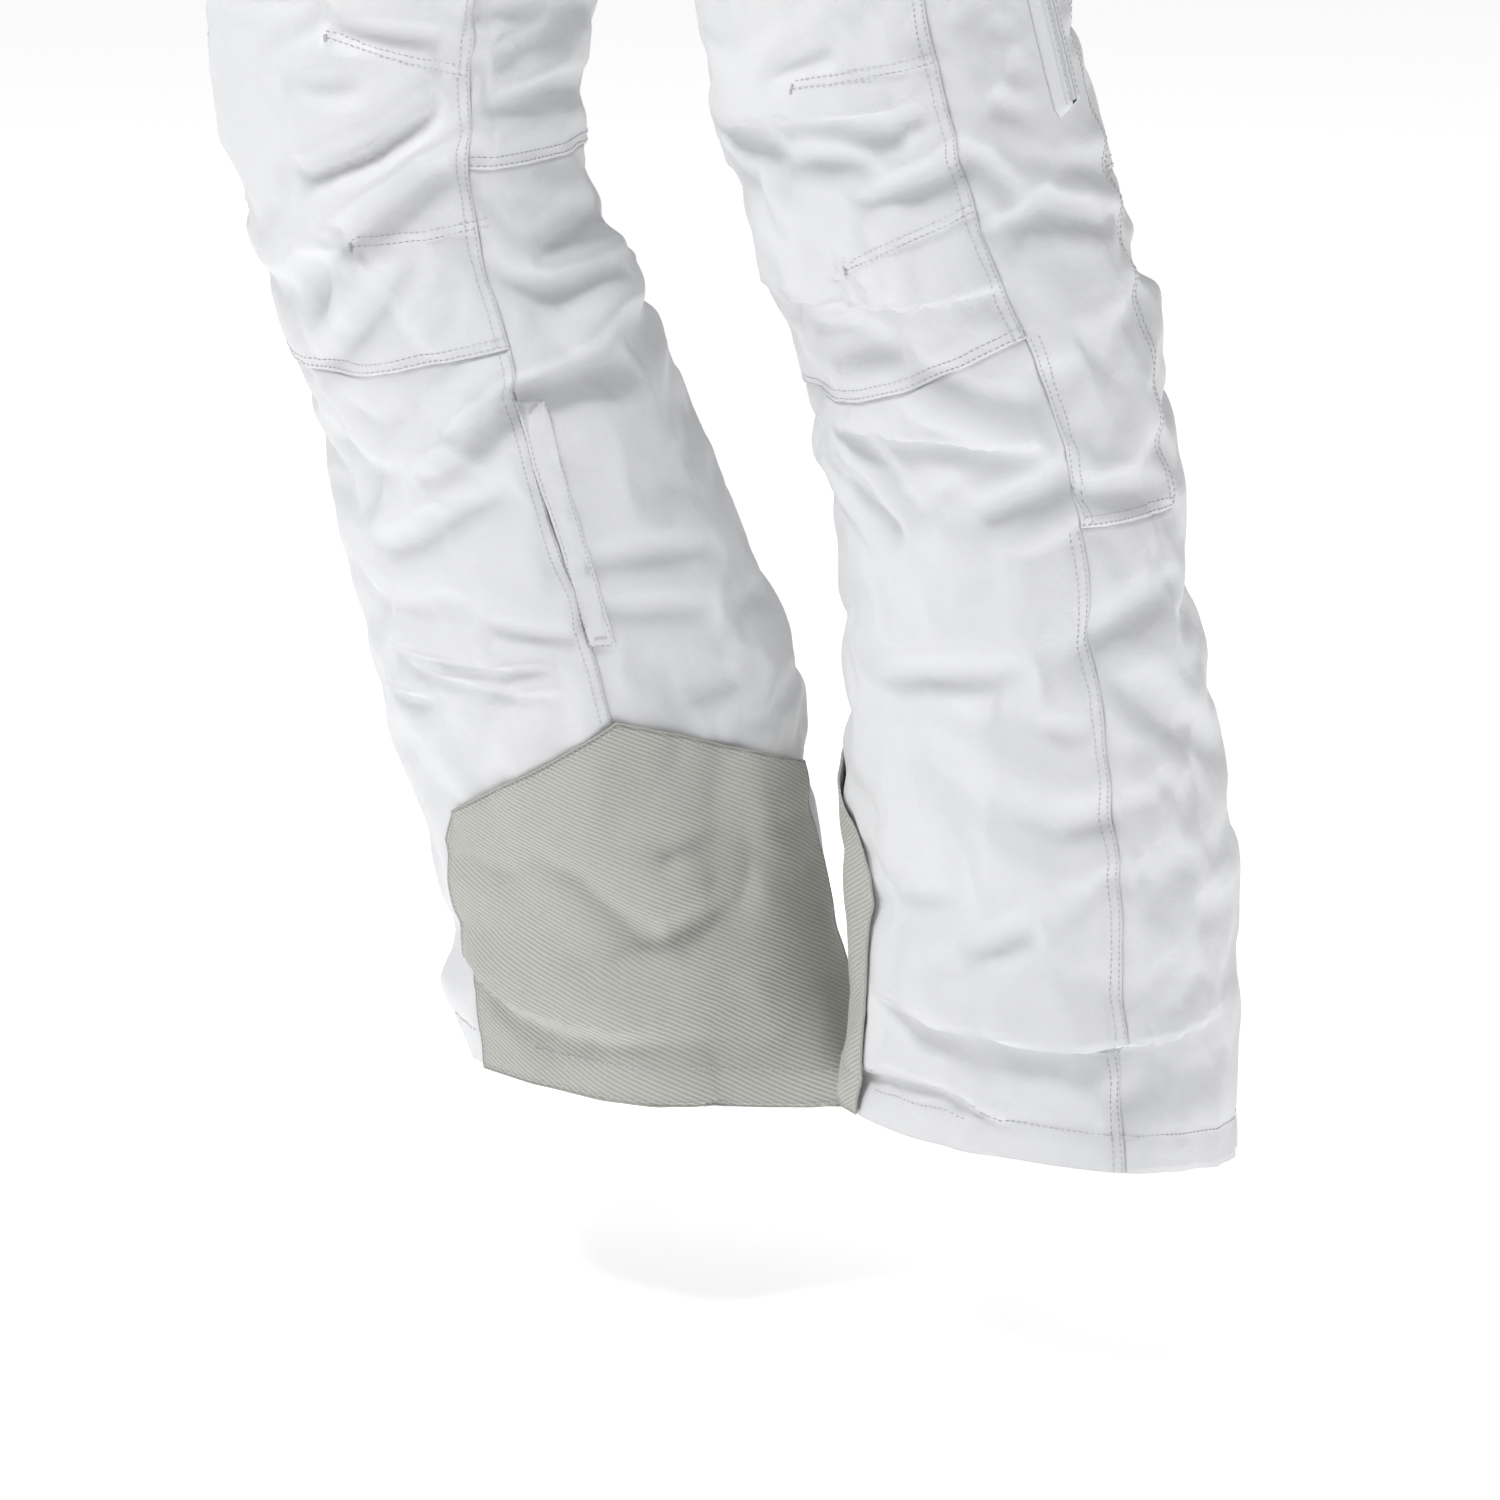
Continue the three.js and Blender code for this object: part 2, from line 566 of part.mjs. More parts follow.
// A closed ring: a band right round the leg, between two heights and two insets.
function ringBand(side, rises, outerInset, ply) {
  const rows = rises.length - 1;
  const positions = [];
  const at = (face, row, step) => (face * (rows + 1) + row) * RING_STEPS + (step % RING_STEPS);
  for (const face of [0, 1]) {
    rises.forEach((rise) => {
      for (let step = 0; step < RING_STEPS; step += 1) {
        const point = surfacePoint(side, step / RING_STEPS, HEM_Z + rise, outerInset(rise) + face * ply);
        positions.push(point.x, point.y, point.z);
      }
    });
  }
  const triangles = [];
  const quad = (a, b, c, d) => triangles.push(a, b, c, a, c, d);
  for (let step = 0; step < RING_STEPS; step += 1) {
    for (let row = 0; row < rows; row += 1) {
      quad(at(0, row, step), at(0, row + 1, step), at(0, row + 1, step + 1), at(0, row, step + 1));
      quad(at(1, row, step + 1), at(1, row + 1, step + 1), at(1, row + 1, step), at(1, row, step));
    }
    quad(at(1, 0, step), at(0, 0, step), at(0, 0, step + 1), at(1, 0, step + 1));
    quad(at(0, rows, step), at(1, rows, step), at(1, rows, step + 1), at(0, rows, step + 1));
  }
  const geometry = new THREE.BufferGeometry();
  geometry.setAttribute('position', new THREE.Float32BufferAttribute(positions, 3));
  geometry.setIndex(triangles);
  return turnedOutward(geometry, side);
}

function gaiterInset(rise) {
  const share = (rise - GAITER_BOTTOM_RISE) / (GAITER_TOP_RISE - GAITER_BOTTOM_RISE);
  return PLY + LINING_CLEARANCE + LINING_PLY + mix(GAITER_BOTTOM_INSET, GAITER_TOP_INSET, share);
}

function addGaiter(side) {
  const rises = [GAITER_TOP_RISE, (GAITER_TOP_RISE + GAITER_BOTTOM_RISE) / 2, GAITER_BOTTOM_RISE];
  addPiece(`gaiter_${side}`, ringBand(side, rises, gaiterInset, GAITER_PLY), LINING_GREY);
  const bandInset = (rise) => gaiterInset(rise) + GAITER_PLY + SEAM_GAP * 2;
  const bandRises = [GAITER_BOTTOM_RISE + ELASTIC_HEIGHT, GAITER_BOTTOM_RISE];
  addPiece(`gaiter_elastic_${side}`, ringBand(side, bandRises, bandInset, ELASTIC_PLY), RUBBER_GREY);
  const rise = GAITER_BOTTOM_RISE + HOOK_LENGTH * 0.6;
  const inset = gaiterInset(rise) - 3.4;
  const seat = surfacePoint(side, 0.25, HEM_Z + rise, inset);
  const frame = frameOn(seat, new THREE.Vector3(0, 0, -1), new THREE.Vector3(0, -1, 0));
  const hook = joined(
    plate(roundedOutline(HOOK_LENGTH, HOOK_WIDTH, 3), HOOK_PLY),
    plate(roundedOutline(HOOK_PLY * 2, HOOK_WIDTH * 0.7, 0.8), HOOK_PLY * 3).translate(HOOK_LENGTH * 0.36, 0, 0),
  );
  addPiece(`lace_hook_${side}`, hook, COIL_METAL, frame);
}

for (const side of ['left', 'right']) {
  addPanels(side);
  addGuard(side);
  addGaiter(side);
}

// ---- Hand pockets and thigh vents -----------------------------------------------------------

for (const side of ['left', 'right']) {
  addZip(`pocket_${side}`, trackOn(side, POCKET_PLACE, POCKET_TOP_DROP, POCKET_LENGTH), POCKET_LENGTH);
  addZip(`vent_${side}`, trackOn(side, VENT_PLACE / TURN, VENT_TOP_DROP, VENT_LENGTH), VENT_LENGTH);
}

// ---- Fly, snap, belt loops, waist tabs and seat pocket --------------------------------------

const flyFrame = trackOn('left', 0, FLY_TOP_DROP, FLY_LENGTH);
flyFrame.premultiply(new THREE.Matrix4().makeTranslation(-SEAM_GAP / 2, 0, 0));
addZip('fly', flyFrame, FLY_LENGTH);

function bandFrame(side, round, drop) {
  const seat = surfacePoint(side, round, -drop);
  const outward = surfaceNormal(side, round, -drop);
  const down = surfacePoint(side, round, -drop - 1).sub(seat);
  return frameOn(seat, down, outward);
}

const snapFrame = bandFrame('left', 0, WAISTBAND_HEIGHT / 2);
const snapCap = new THREE.CylinderGeometry(SNAP_RADIUS * 0.86, SNAP_RADIUS, SNAP_RISE, 24);
snapCap.rotateX(PI / 2).translate(0, 0, SNAP_RISE / 2 + RUN_CLEARANCE);
addPiece('waist_snap', snapCap, COIL_METAL, snapFrame);

// A belt loop: a strip that stands off the band, with its two feet on it.
function beltLoop() {
  const side = new THREE.Shape();
  const half = LOOP_HEIGHT / 2;
  const [foot, bend] = [LOOP_FOOT, LOOP_BEND];
  side.moveTo(-half, 0).lineTo(-half + foot, 0).lineTo(-half + foot, LOOP_STANDOFF - bend);
  side.lineTo(half - foot, LOOP_STANDOFF - bend).lineTo(half - foot, 0).lineTo(half, 0);
  side.lineTo(half, LOOP_STANDOFF).lineTo(half - bend, LOOP_STANDOFF + LOOP_PLY);
  side.lineTo(-half + bend, LOOP_STANDOFF + LOOP_PLY).lineTo(-half, LOOP_STANDOFF).closePath();
  const strip = new THREE.ExtrudeGeometry(side, { depth: LOOP_WIDTH, bevelEnabled: false });
  return strip.rotateX(PI / 2).translate(0, LOOP_WIDTH / 2, 0);
}

for (const side of ['left', 'right']) {
  for (const [place, round] of Object.entries(LOOP_PLACES)) {
    const frame = bandFrame(side, round, LOOP_HEIGHT / 2 + 1);
    addPiece(`belt_loop_${place}_${side}`, beltLoop(), SHELL_WHITE, lifted(frame, 0, 0, 2));
  }
}
const backLoopFrame = bandFrame('left', 1, LOOP_HEIGHT / 2 + 1);
backLoopFrame.premultiply(new THREE.Matrix4().makeTranslation(-SEAM_GAP / 2, 0, 0));
addPiece('belt_loop_back', beltLoop(), SHELL_WHITE, lifted(backLoopFrame, 0, 0, 1));

// A patch that lies on the garment, or inside it where the lift is negative.
function surfacePatch(side, places, drops, lift, ply, columns, rows) {
  const geometry = shellOverCells(columns, rows, () => true, (column, row, face) => {
    const z = -mix(drops[0], drops[1], row / rows);
    const [from, to] = places(z);
    const round = mix(from, to, column / columns);
    return surfacePoint(side, round, z)
      .addScaledVector(surfaceNormal(side, round, z), lift + (face === 0 ? ply : 0));
  });
  return turnedOutward(geometry, side);
}

// How much of the way round a length takes up, at one height of the trunk or the leg.
function roundSpan(side, round, z, length) {
  const step = surfacePoint(side, round + NUDGE, z).distanceTo(surfacePoint(side, round, z));
  return (length * NUDGE) / step;
}

const LINING_INSIDE = PLY + LINING_CLEARANCE + LINING_PLY;
const bandMiddle = WAISTBAND_HEIGHT / 2;

for (const side of ['left', 'right']) {
  const bagSpan = roundSpan(side, POCKET_PLACE, -POCKET_TOP_DROP, POCKET_BAG_WIDTH);
  const bagDrops = [POCKET_TOP_DROP, POCKET_TOP_DROP + POCKET_BAG_DEPTH];
  const bagLift = -LINING_INSIDE - POCKET_BAG_DEPTH_IN - POCKET_BAG_PLY;
  const bagPlaces = () => [POCKET_PLACE - bagSpan, POCKET_PLACE];
  const bag = surfacePatch(side, bagPlaces, bagDrops, bagLift, POCKET_BAG_PLY, 4, 3);
  addPiece(`pocket_bag_${side}`, bag, LINING_GREY);

  const place = (length) => () => [TAB_PLACE, TAB_PLACE + roundSpan(side, TAB_PLACE, -bandMiddle, length)];
  const drops = (height) => [bandMiddle - height / 2, bandMiddle + height / 2];
  const pad = surfacePatch(side, place(PAD_LENGTH), drops(PAD_HEIGHT), PATCH_CLEARANCE, PAD_PLY, 6, 1);
  addPiece(`waist_pad_${side}`, pad, RUBBER_GREY);
  const tabLift = PATCH_CLEARANCE + PAD_PLY + RUN_CLEARANCE;
  const tab = surfacePatch(side, place(TAB_LENGTH), drops(TAB_HEIGHT), tabLift, TAB_PLY, 6, 1);
  addPiece(`waist_tab_${side}`, tab, SHELL_WHITE);

  const seam = (z) => {
    const span = roundSpan(side, innerSeam(z), z, PLACKET_WIDTH);
    return [innerSeam(z) - span * PLACKET_BEHIND, innerSeam(z) + span * (1 - PLACKET_BEHIND)];
  };
  const placketDrops = [PLACKET_TOP_DROP, PLACKET_TOP_DROP + PLACKET_LENGTH];
  const placket = surfacePatch(side, seam, placketDrops, PATCH_CLEARANCE, PLACKET_PLY, 2, 4);
  addPiece(`calf_placket_${side}`, placket, SHELL_WHITE);
}

const flapSpan = roundSpan('right', FLAP_PLACE, -FLAP_DROP, FLAP_WIDTH / 2);
const flapPlaces = () => [FLAP_PLACE - flapSpan, FLAP_PLACE + flapSpan];
const flapDrops = [FLAP_DROP, FLAP_DROP + FLAP_HEIGHT];
const flap = surfacePatch('right', flapPlaces, flapDrops, PATCH_CLEARANCE, FLAP_PLY, 8, 2);
addPiece('seat_pocket_flap', flap, SHELL_WHITE);

const underlapTop = surfacePoint('left', 0, -FLY_TOP_DROP);
const underlapEnd = surfacePoint('left', 0, -FLY_TOP_DROP - FLY_LENGTH);
const inward = new THREE.Vector3(0, LINING_INSIDE + UNDERLAP_PLY * 3, 0);
const underlapMiddle = underlapTop.clone().add(underlapEnd).multiplyScalar(0.5).add(inward).setX(0);
const underlapFrame = frameOn(underlapMiddle, underlapEnd.sub(underlapTop), new THREE.Vector3(0, -1, 0));
const underlap = plate(roundedOutline(UNDERLAP_LENGTH, UNDERLAP_WIDTH, UNDERLAP_CORNER), UNDERLAP_PLY);
addPiece('fly_underlap', underlap, LINING_GREY, underlapFrame);

export default pants;
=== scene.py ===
import math

import bmesh
import bpy
import numpy as np
from mathutils import Matrix, Vector, noise
from mathutils.bvhtree import BVHTree
from mathutils.kdtree import KDTree


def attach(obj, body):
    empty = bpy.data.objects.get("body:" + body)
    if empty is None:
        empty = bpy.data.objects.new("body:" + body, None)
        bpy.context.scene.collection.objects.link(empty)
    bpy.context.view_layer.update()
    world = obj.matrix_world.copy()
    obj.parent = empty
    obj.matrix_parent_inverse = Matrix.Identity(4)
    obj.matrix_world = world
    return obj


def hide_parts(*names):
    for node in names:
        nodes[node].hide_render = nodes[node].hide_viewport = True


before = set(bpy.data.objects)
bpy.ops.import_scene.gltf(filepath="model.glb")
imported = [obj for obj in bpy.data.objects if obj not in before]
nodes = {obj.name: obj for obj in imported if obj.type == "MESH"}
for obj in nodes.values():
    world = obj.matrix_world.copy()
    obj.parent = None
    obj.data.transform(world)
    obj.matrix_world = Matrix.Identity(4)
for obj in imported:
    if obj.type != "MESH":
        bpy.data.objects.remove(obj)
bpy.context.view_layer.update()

# ---- Camera --------------------------------------------------------------------------------
# The lower legs fill the view: seen from the front and the wearer's left, a little from above.

AIM = Vector((-0.001, 0.058, -0.8755))
CAMERA_AZIMUTH = math.radians(61.7)
CAMERA_ELEVATION = math.radians(14.4)
CAMERA_DISTANCE = 4.5


def from_aim(azimuth, elevation, distance):
    level = math.cos(elevation) * distance
    rise = math.sin(elevation) * distance
    return AIM + Vector((math.sin(azimuth) * level, -math.cos(azimuth) * level, rise))


camera = bpy.data.objects.new("camera", bpy.data.cameras.new("camera"))
camera.data.sensor_width = 36
camera.data.lens = 196.4
camera.data.clip_start = 0.1
camera.location = from_aim(CAMERA_AZIMUTH, CAMERA_ELEVATION, CAMERA_DISTANCE)
camera.rotation_euler = (AIM - camera.location).to_track_quat("-Z", "Y").to_euler()
bpy.context.scene.collection.objects.link(camera)
bpy.context.scene.camera = camera

# ---- Studio --------------------------------------------------------------------------------
# A plain pale floor with soft light: a large lamp above the front, a weaker one on each side.

FLOOR_DROP = 1.2
LAMP_DISTANCE = 3.2


def add_node(tree, kind, settings=None, links=None):
    made = tree.nodes.new(kind)
    for name, value in (settings or {}).items():
        if isinstance(name, int) or name in made.inputs:
            made.inputs[name].default_value = value
        else:
            setattr(made, name, value)
    for socket, source in (links or {}).items():
        tree.links.new(source, made.inputs[socket])
    return made


def colour(hex_value):
    channels = [int(hex_value[k:k + 2], 16) / 255 for k in (1, 3, 5)]
    linear = [c / 12.92 if c <= 0.04045 else ((c + 0.055) / 1.055) ** 2.4 for c in channels]
    return (*linear, 1)


def new_material(name):
    material = bpy.data.materials.new(name)
    material.use_nodes = True
    tree = material.node_tree
    shader = next(n for n in tree.nodes if n.type == "BSDF_PRINCIPLED")
    return material, tree, shader


def soft_lamp(name, azimuth, elevation, size, power):
    lamp = bpy.data.objects.new(name, bpy.data.lights.new(name, "AREA"))
    lamp.data.size = size
    lamp.data.energy = power
    lamp.location = from_aim(math.radians(azimuth), math.radians(elevation), LAMP_DISTANCE)
    lamp.rotation_euler = (AIM - lamp.location).to_track_quat("-Z", "Y").to_euler()
    bpy.context.scene.collection.objects.link(lamp)


soft_lamp("lamp_above", 10, 62, 0.9, 54)
soft_lamp("lamp_left", 125, 30, 1.6, 13)
soft_lamp("lamp_right", -30, 20, 2.0, 3)
soft_lamp("lamp_behind", 230, 50, 2.2, 12)
world = bpy.data.worlds.new("studio")
world.use_nodes = True
world.node_tree.nodes["Background"].inputs["Color"].default_value = colour("#F7F8FA")
world.node_tree.nodes["Background"].inputs["Strength"].default_value = 0.23
bpy.context.scene.world = world
bpy.context.scene.view_settings.view_transform = "Standard"

floor_material, _, floor_shader = new_material("painted_studio_floor")
floor_shader.inputs["Base Color"].default_value = colour("#F6F6F6")
floor_shader.inputs["Roughness"].default_value = 0.8
floor_shader.inputs["Emission Color"].default_value = colour("#FFFFFF")
floor_shader.inputs["Emission Strength"].default_value = 0.7
floor_shape = bmesh.new()
bmesh.ops.create_grid(floor_shape, x_segments=2, y_segments=2, size=30)
bmesh.ops.translate(floor_shape, verts=floor_shape.verts, vec=(0, 0, -FLOOR_DROP))
floor_mesh = bpy.data.meshes.new("floor")
floor_shape.to_mesh(floor_mesh)
floor_mesh.materials.append(floor_material)
floor = bpy.data.objects.new("floor", floor_mesh)
bpy.context.scene.collection.objects.link(floor)

# ---- Shell fabric --------------------------------------------------------------------------
# Face fabric: a filament polyester twill with a soft satin hand, laminated and lightly padded.
# It reads as smooth off-white cloth, with a fine weave and a faint cool shade in its hollows.

MM = 0.001
WEAVE_MM = 1.1          # real yarns are 0.3 mm apart, drawn coarser so that the weave shows
CREPE_MM = 7


def cloth_material(name, light, dark, roughness, sheen, weave_mm, weave_bump, crepe_bump):
    material, tree, shader = new_material(name)
    place = add_node(tree, "ShaderNodeTexCoord").outputs["Object"]
    crepe = add_node(tree, "ShaderNodeTexNoise", {"Scale": 1 / (CREPE_MM * MM), "Detail": 4},
                     {"Vector": place})
    broad = add_node(tree, "ShaderNodeTexNoise", {"Scale": 14, "Detail": 3}, {"Vector": place})
    yarn = add_node(tree, "ShaderNodeTexVoronoi", {"Scale": 1 / (weave_mm * MM)}, {"Vector": place})
    blend = add_node(tree, "ShaderNodeMix", {"data_type": "RGBA", 6: colour(light), 7: colour(dark)},
                     {0: broad.outputs["Fac"]})
    tree.links.new(blend.outputs[2], shader.inputs["Base Color"])
    fine = add_node(tree, "ShaderNodeBump", {"Strength": weave_bump, "Distance": 0.0003},
                    {"Height": yarn.outputs["Distance"]})
    bump = add_node(tree, "ShaderNodeBump", {"Strength": crepe_bump, "Distance": 0.0012},
                    {"Height": crepe.outputs["Fac"], "Normal": fine.outputs["Normal"]})
    tree.links.new(bump.outputs["Normal"], shader.inputs["Normal"])
    shader.inputs["Roughness"].default_value = roughness
    shader.inputs["Sheen Weight"].default_value = sheen
    shader.inputs["Sheen Roughness"].default_value = 0.4
    return material


shell_fabric = cloth_material("satin_polyester_shell", "#EAEAEB", "#E2E3E5", 0.5, 0.12, WEAVE_MM, 0.3, 0.45)

# ---- Garment shell -------------------------------------------------------------------------
# Twelve cut panels, sewn edge to edge: waistband, front, side and seat above, shin and calf below.
# They are shaped as one cloth, so that folds run over the seams, and then parted at the seams.

PANELS = ["waistband", "front_panel", "side_panel", "seat_panel", "calf_panel", "shin_panel"]
SIDES = ["left", "right"]
PANEL_PLY = 2.4 * MM
SEAM_WELD = 0.9 * MM


def islands(sheet):
    waiting = set(sheet.faces)
    while waiting:
        group = {waiting.pop()}
        reached = list(group)
        while reached:
            face = reached.pop()
            beside = {f for e in face.edges for f in e.link_faces} & waiting
            waiting -= beside
            group |= beside
            reached.extend(beside)
        yield group


def skin_of(node, ply):
    skin = bmesh.new()
    skin.from_mesh(nodes[node].data)
    bmesh.ops.remove_doubles(skin, verts=skin.verts, dist=1e-5)
    rim = [f for f in skin.faces if any(abs(e.calc_length() - ply) < 1e-4 for e in f.edges)]
    bmesh.ops.delete(skin, geom=rim, context="FACES")
    outer = max(islands(skin), key=lambda group: sum(f.calc_area() for f in group))
    bmesh.ops.delete(skin, geom=[f for f in skin.faces if f not in outer], context="FACES")
    return skin


def quads(sheet):
    bmesh.ops.join_triangles(sheet, faces=sheet.faces, cmp_materials=True, angle_face_threshold=math.pi,
                             angle_shape_threshold=math.pi)


def as_object(name, sheet, *materials):
    mesh = bpy.data.meshes.new(name)
    sheet.to_mesh(mesh)
    sheet.free()
    for material in materials:
        mesh.materials.append(material)
    mesh.shade_smooth()
    made = bpy.data.objects.new(name, mesh)
    bpy.context.scene.collection.objects.link(made)
    return made


def with_modifier(piece, kind, **settings):
    modifier = piece.modifiers.new(kind.title(), kind)
    for name, value in settings.items():
        setattr(modifier, name, value)
    return modifier


def applied(piece):
    bpy.context.view_layer.update()
    graph = bpy.context.evaluated_depsgraph_get()
    shaped = bpy.data.meshes.new_from_object(piece.evaluated_get(graph))
    piece.modifiers.clear()
    piece.data = shaped
    return piece


def subdivided(piece, levels):
    with_modifier(piece, "SUBSURF", levels=levels, render_levels=levels, boundary_smooth="PRESERVE_CORNERS")
    return applied(piece)


def points_of(mesh):
    flat = np.empty(len(mesh.vertices) * 3)
    mesh.vertices.foreach_get("co", flat)
    return flat.reshape(-1, 3)


def normals_of(mesh):
    flat = np.empty(len(mesh.vertices) * 3)
    mesh.vertex_normals.foreach_get("vector", flat)
    return flat.reshape(-1, 3)


def set_points(mesh, points):
    mesh.vertices.foreach_set("co", points.ravel())
    mesh.update()


cage = bmesh.new()
for side_number, side in enumerate(SIDES):
    for panel_number, panel in enumerate(PANELS):
        sheet = skin_of(f"{panel}_{side}", PANEL_PLY)
        for face in sheet.faces:
            face.material_index = panel_number + side_number * len(PANELS)
        part = bpy.data.meshes.new("part")
        sheet.to_mesh(part)
        sheet.free()
        cage.from_mesh(part)
bmesh.ops.remove_doubles(cage, verts=cage.verts, dist=SEAM_WELD)
quads(cage)
bmesh.ops.recalc_face_normals(cage, faces=cage.faces)
garment = as_object("garment", cage, *[shell_fabric] * (len(PANELS) * 2))
subdivided(garment, 3)

# Each leg's middle line, from the cloth's own breadth and depth at each height.
LEG_TOP = -0.36
LEG_STEP = 0.03
HEM_ROOM = 0.06          # the hem slopes, so the lowest rings are not whole
rest_points = points_of(garment.data)


def sides_of(mesh):
    """The leg that each point of the whole garment belongs to: 1 for left, -1 for right."""
    way = np.ones(len(mesh.vertices), int)
    for polygon in mesh.polygons:
        if polygon.material_index >= len(PANELS):
            way[list(polygon.vertices)] = -1
    return way


way = sides_of(garment.data)
leg_heights = np.arange(LEG_TOP, rest_points[:, 2].min() + HEM_ROOM, -LEG_STEP)
leg_middles = {}
for side_way in (1, -1):
    leg = rest_points[way == side_way]
    rings = [leg[abs(leg[:, 2] - height) < LEG_STEP / 2] for height in leg_heights]
    leg_middles[side_way] = np.array([(ring[:, :2].min(0) + ring[:, :2].max(0)) / 2 for ring in rings])


def middle_at(way, heights):
    line = leg_middles[way]
    across = np.interp(-heights, -leg_heights, line[:, 0])
    back = np.interp(-heights, -leg_heights, line[:, 1])
    return across, back


def leg_places(points, way):
    """Place around the leg in degrees: 0 inside, 90 front, 180 outside, 270 back."""
    way = np.broadcast_to(way, len(points))
    place = np.empty(len(points))
    for side_way in (1, -1):
        mine = way == side_way
        across, back = middle_at(side_way, points[mine, 2])
        inward = (across - points[mine, 0]) * side_way
        place[mine] = np.degrees(np.arctan2(back - points[mine, 1], inward))
    return place


# Folds of the worn cloth, as (depth, half width, line); a line runs through (place in degrees,
# drop below the waist in mm). A negative depth is a hollow and a positive one a ridge.
MM_PER_DEGREE = 1.75
FOLD_SHARE = 1.5
LAP_SHARE = 1.5
FOLDS = {
    -1: [
        (-3, 9, [(90, -454), (48, -451)]),
        (-5, 8, [(75, -480), (52, -463), (14, -469)]),
        (-3, 8, [(64, -496), (36, -494)]),
        (-7, 9, [(12, -502), (36, -526), (65, -545)]),
        (5, 11, [(8, -509), (36, -542), (61, -576), (100, -600)]),
        (-6, 9, [(12, -535), (31, -556), (55, -580)]),
        (-6, 8, [(66, -590), (76, -622)]),
        (-5, 9, [(30, -588), (60, -630), (80, -656)]),
        (4, 9, [(22, -584), (45, -622)]),
        (-5, 8, [(0, -458), (-25, -455), (-60, -463)]),
        (-5, 8, [(-3, -480), (-40, -465)]),
        (-6, 7, [(-2, -508), (-30, -502), (-60, -507)]),
        (-5, 8, [(-6, -586), (-28, -574), (-60, -580)]),
        (6, 9, [(-2, -596), (-30, -598), (-60, -592)]),
        (-6, 9, [(8, -600), (-10, -606), (-45, -606)]),
        (7, 14, [(-4, -640), (-25, -618), (-60, -612)]),
        (-9, 10, [(42, -690), (16, -668), (-8, -658), (-30, -655)]),
        (6, 10, [(28, -658), (42, -684), (60, -705)]),
        (-4, 10, [(84, -765), (52, -750)]),
        (-3, 8, [(77, -712), (86, -746)]),
        (-4, 10, [(70, -748), (26, -720)]),
        (-4, 8, [(48, -798), (22, -806)]),
        (-4, 10, [(16, -764), (-8, -761), (-32, -768)]),
        (-4, 9, [(14, -791), (-22, -793)]),
        (-4, 9, [(-8, -847), (-24, -831)]),
        (4, 12, [(88, -956), (64, -963)]),
        (-5, 12, [(42, -926), (36, -951), (24, -972)]),
        (-5, 12, [(38, -993), (20, -977), (-2, -961)]),
        (4, 10, [(34, -938), (4, -954)]),
        (-3, 12, [(22, -935), (-10, -918)]),
        (-4, 10, [(32, -1036), (6, -1040)]),
        (6, 16, [(128, -1030), (104, -1024), (84, -1030)]),
    ],
    1: [
        (-4, 7, [(109, -478), (121, -467), (136, -458)]),
        (-4, 7, [(134, -501), (148, -500), (160, -491)]),
        (-4, 8, [(114, -517), (141, -520)]),
        (4, 8, [(76, -519), (100, -526), (100, -548)]),
        (-6, 8, [(130, -541), (150, -532), (170, -517)]),
        (-4, 6, [(97, -611), (118, -607)]),
        (-4, 9, [(100, -627), (130, -618)]),
        (-5, 8, [(174, -556), (192, -549), (214, -558)]),
        (-4, 7, [(178, -488), (204, -502)]),
        (-4, 7, [(167, -513), (180, -540)]),
        (-4, 9, [(198, -522), (240, -538)]),
        (-5, 8, [(188, -477), (200, -470), (218, -451)]),
        (4, 9, [(128, -646), (168, -669)]),
        (4, 7, [(88, -683), (106, -696), (116, -728)]),
        (-4, 8, [(84, -703), (112, -727)]),
        (-6, 9, [(142, -717), (175, -694)]),
        (-4, 8, [(174, -702), (208, -708)]),
        (-5, 14, [(84, -820), (123, -811), (154, -804)]),
        (-4, 12, [(111, -848), (133, -875)]),
        (-4, 12, [(138, -826), (170, -842)]),
        (-5, 12, [(136, -878), (156, -888), (176, -877)]),
        (-4, 12, [(174, -785), (206, -763)]),
        (-4, 12, [(178, -800), (212, -850)]),
        (-4, 12, [(94, -942), (128, -926)]),
        (-4, 12, [(126, -962), (148, -944)]),
        (-3, 12, [(168, -1043), (188, -1030)]),
    ],
}

# Folds that lie over themselves, as (depth, half width, line): the cloth above hangs over.
LAPS = {
    -1: [
        (3.5, 8, [(85, -815), (57, -815), (28, -815)]),
        (3, 6, [(78, -824), (55, -828), (30, -831)]),
        (2.5, 7, [(91, -842), (72, -843)]),
        (4, 9, [(14, -503), (36, -527), (62, -543)]),
        (3, 7, [(-6, -588), (-28, -580), (-50, -584)]),
        (7, 13, [(95, -988), (84, -993), (70, -1008), (50, -1017), (25, -1026)]),
    ],
    1: [
        (5, 13, [(74, -508), (116, -494), (149, -489)]),
        (3, 6, [(95, -611), (118, -608)]),
        (6.5, 11, [(76, -598), (107, -594), (140, -592), (166, -584)]),
        (4.5, 10, [(84, -673), (115, -668), (139, -670), (166, -674)]),
        (7, 14, [(86, -993), (106, -994), (133, -999), (160, -1006), (190, -1008), (218, -1000)]),
        (4, 10, [(74, -1042), (99, -1032), (118, -1032), (138, -1050)]),
    ],
}


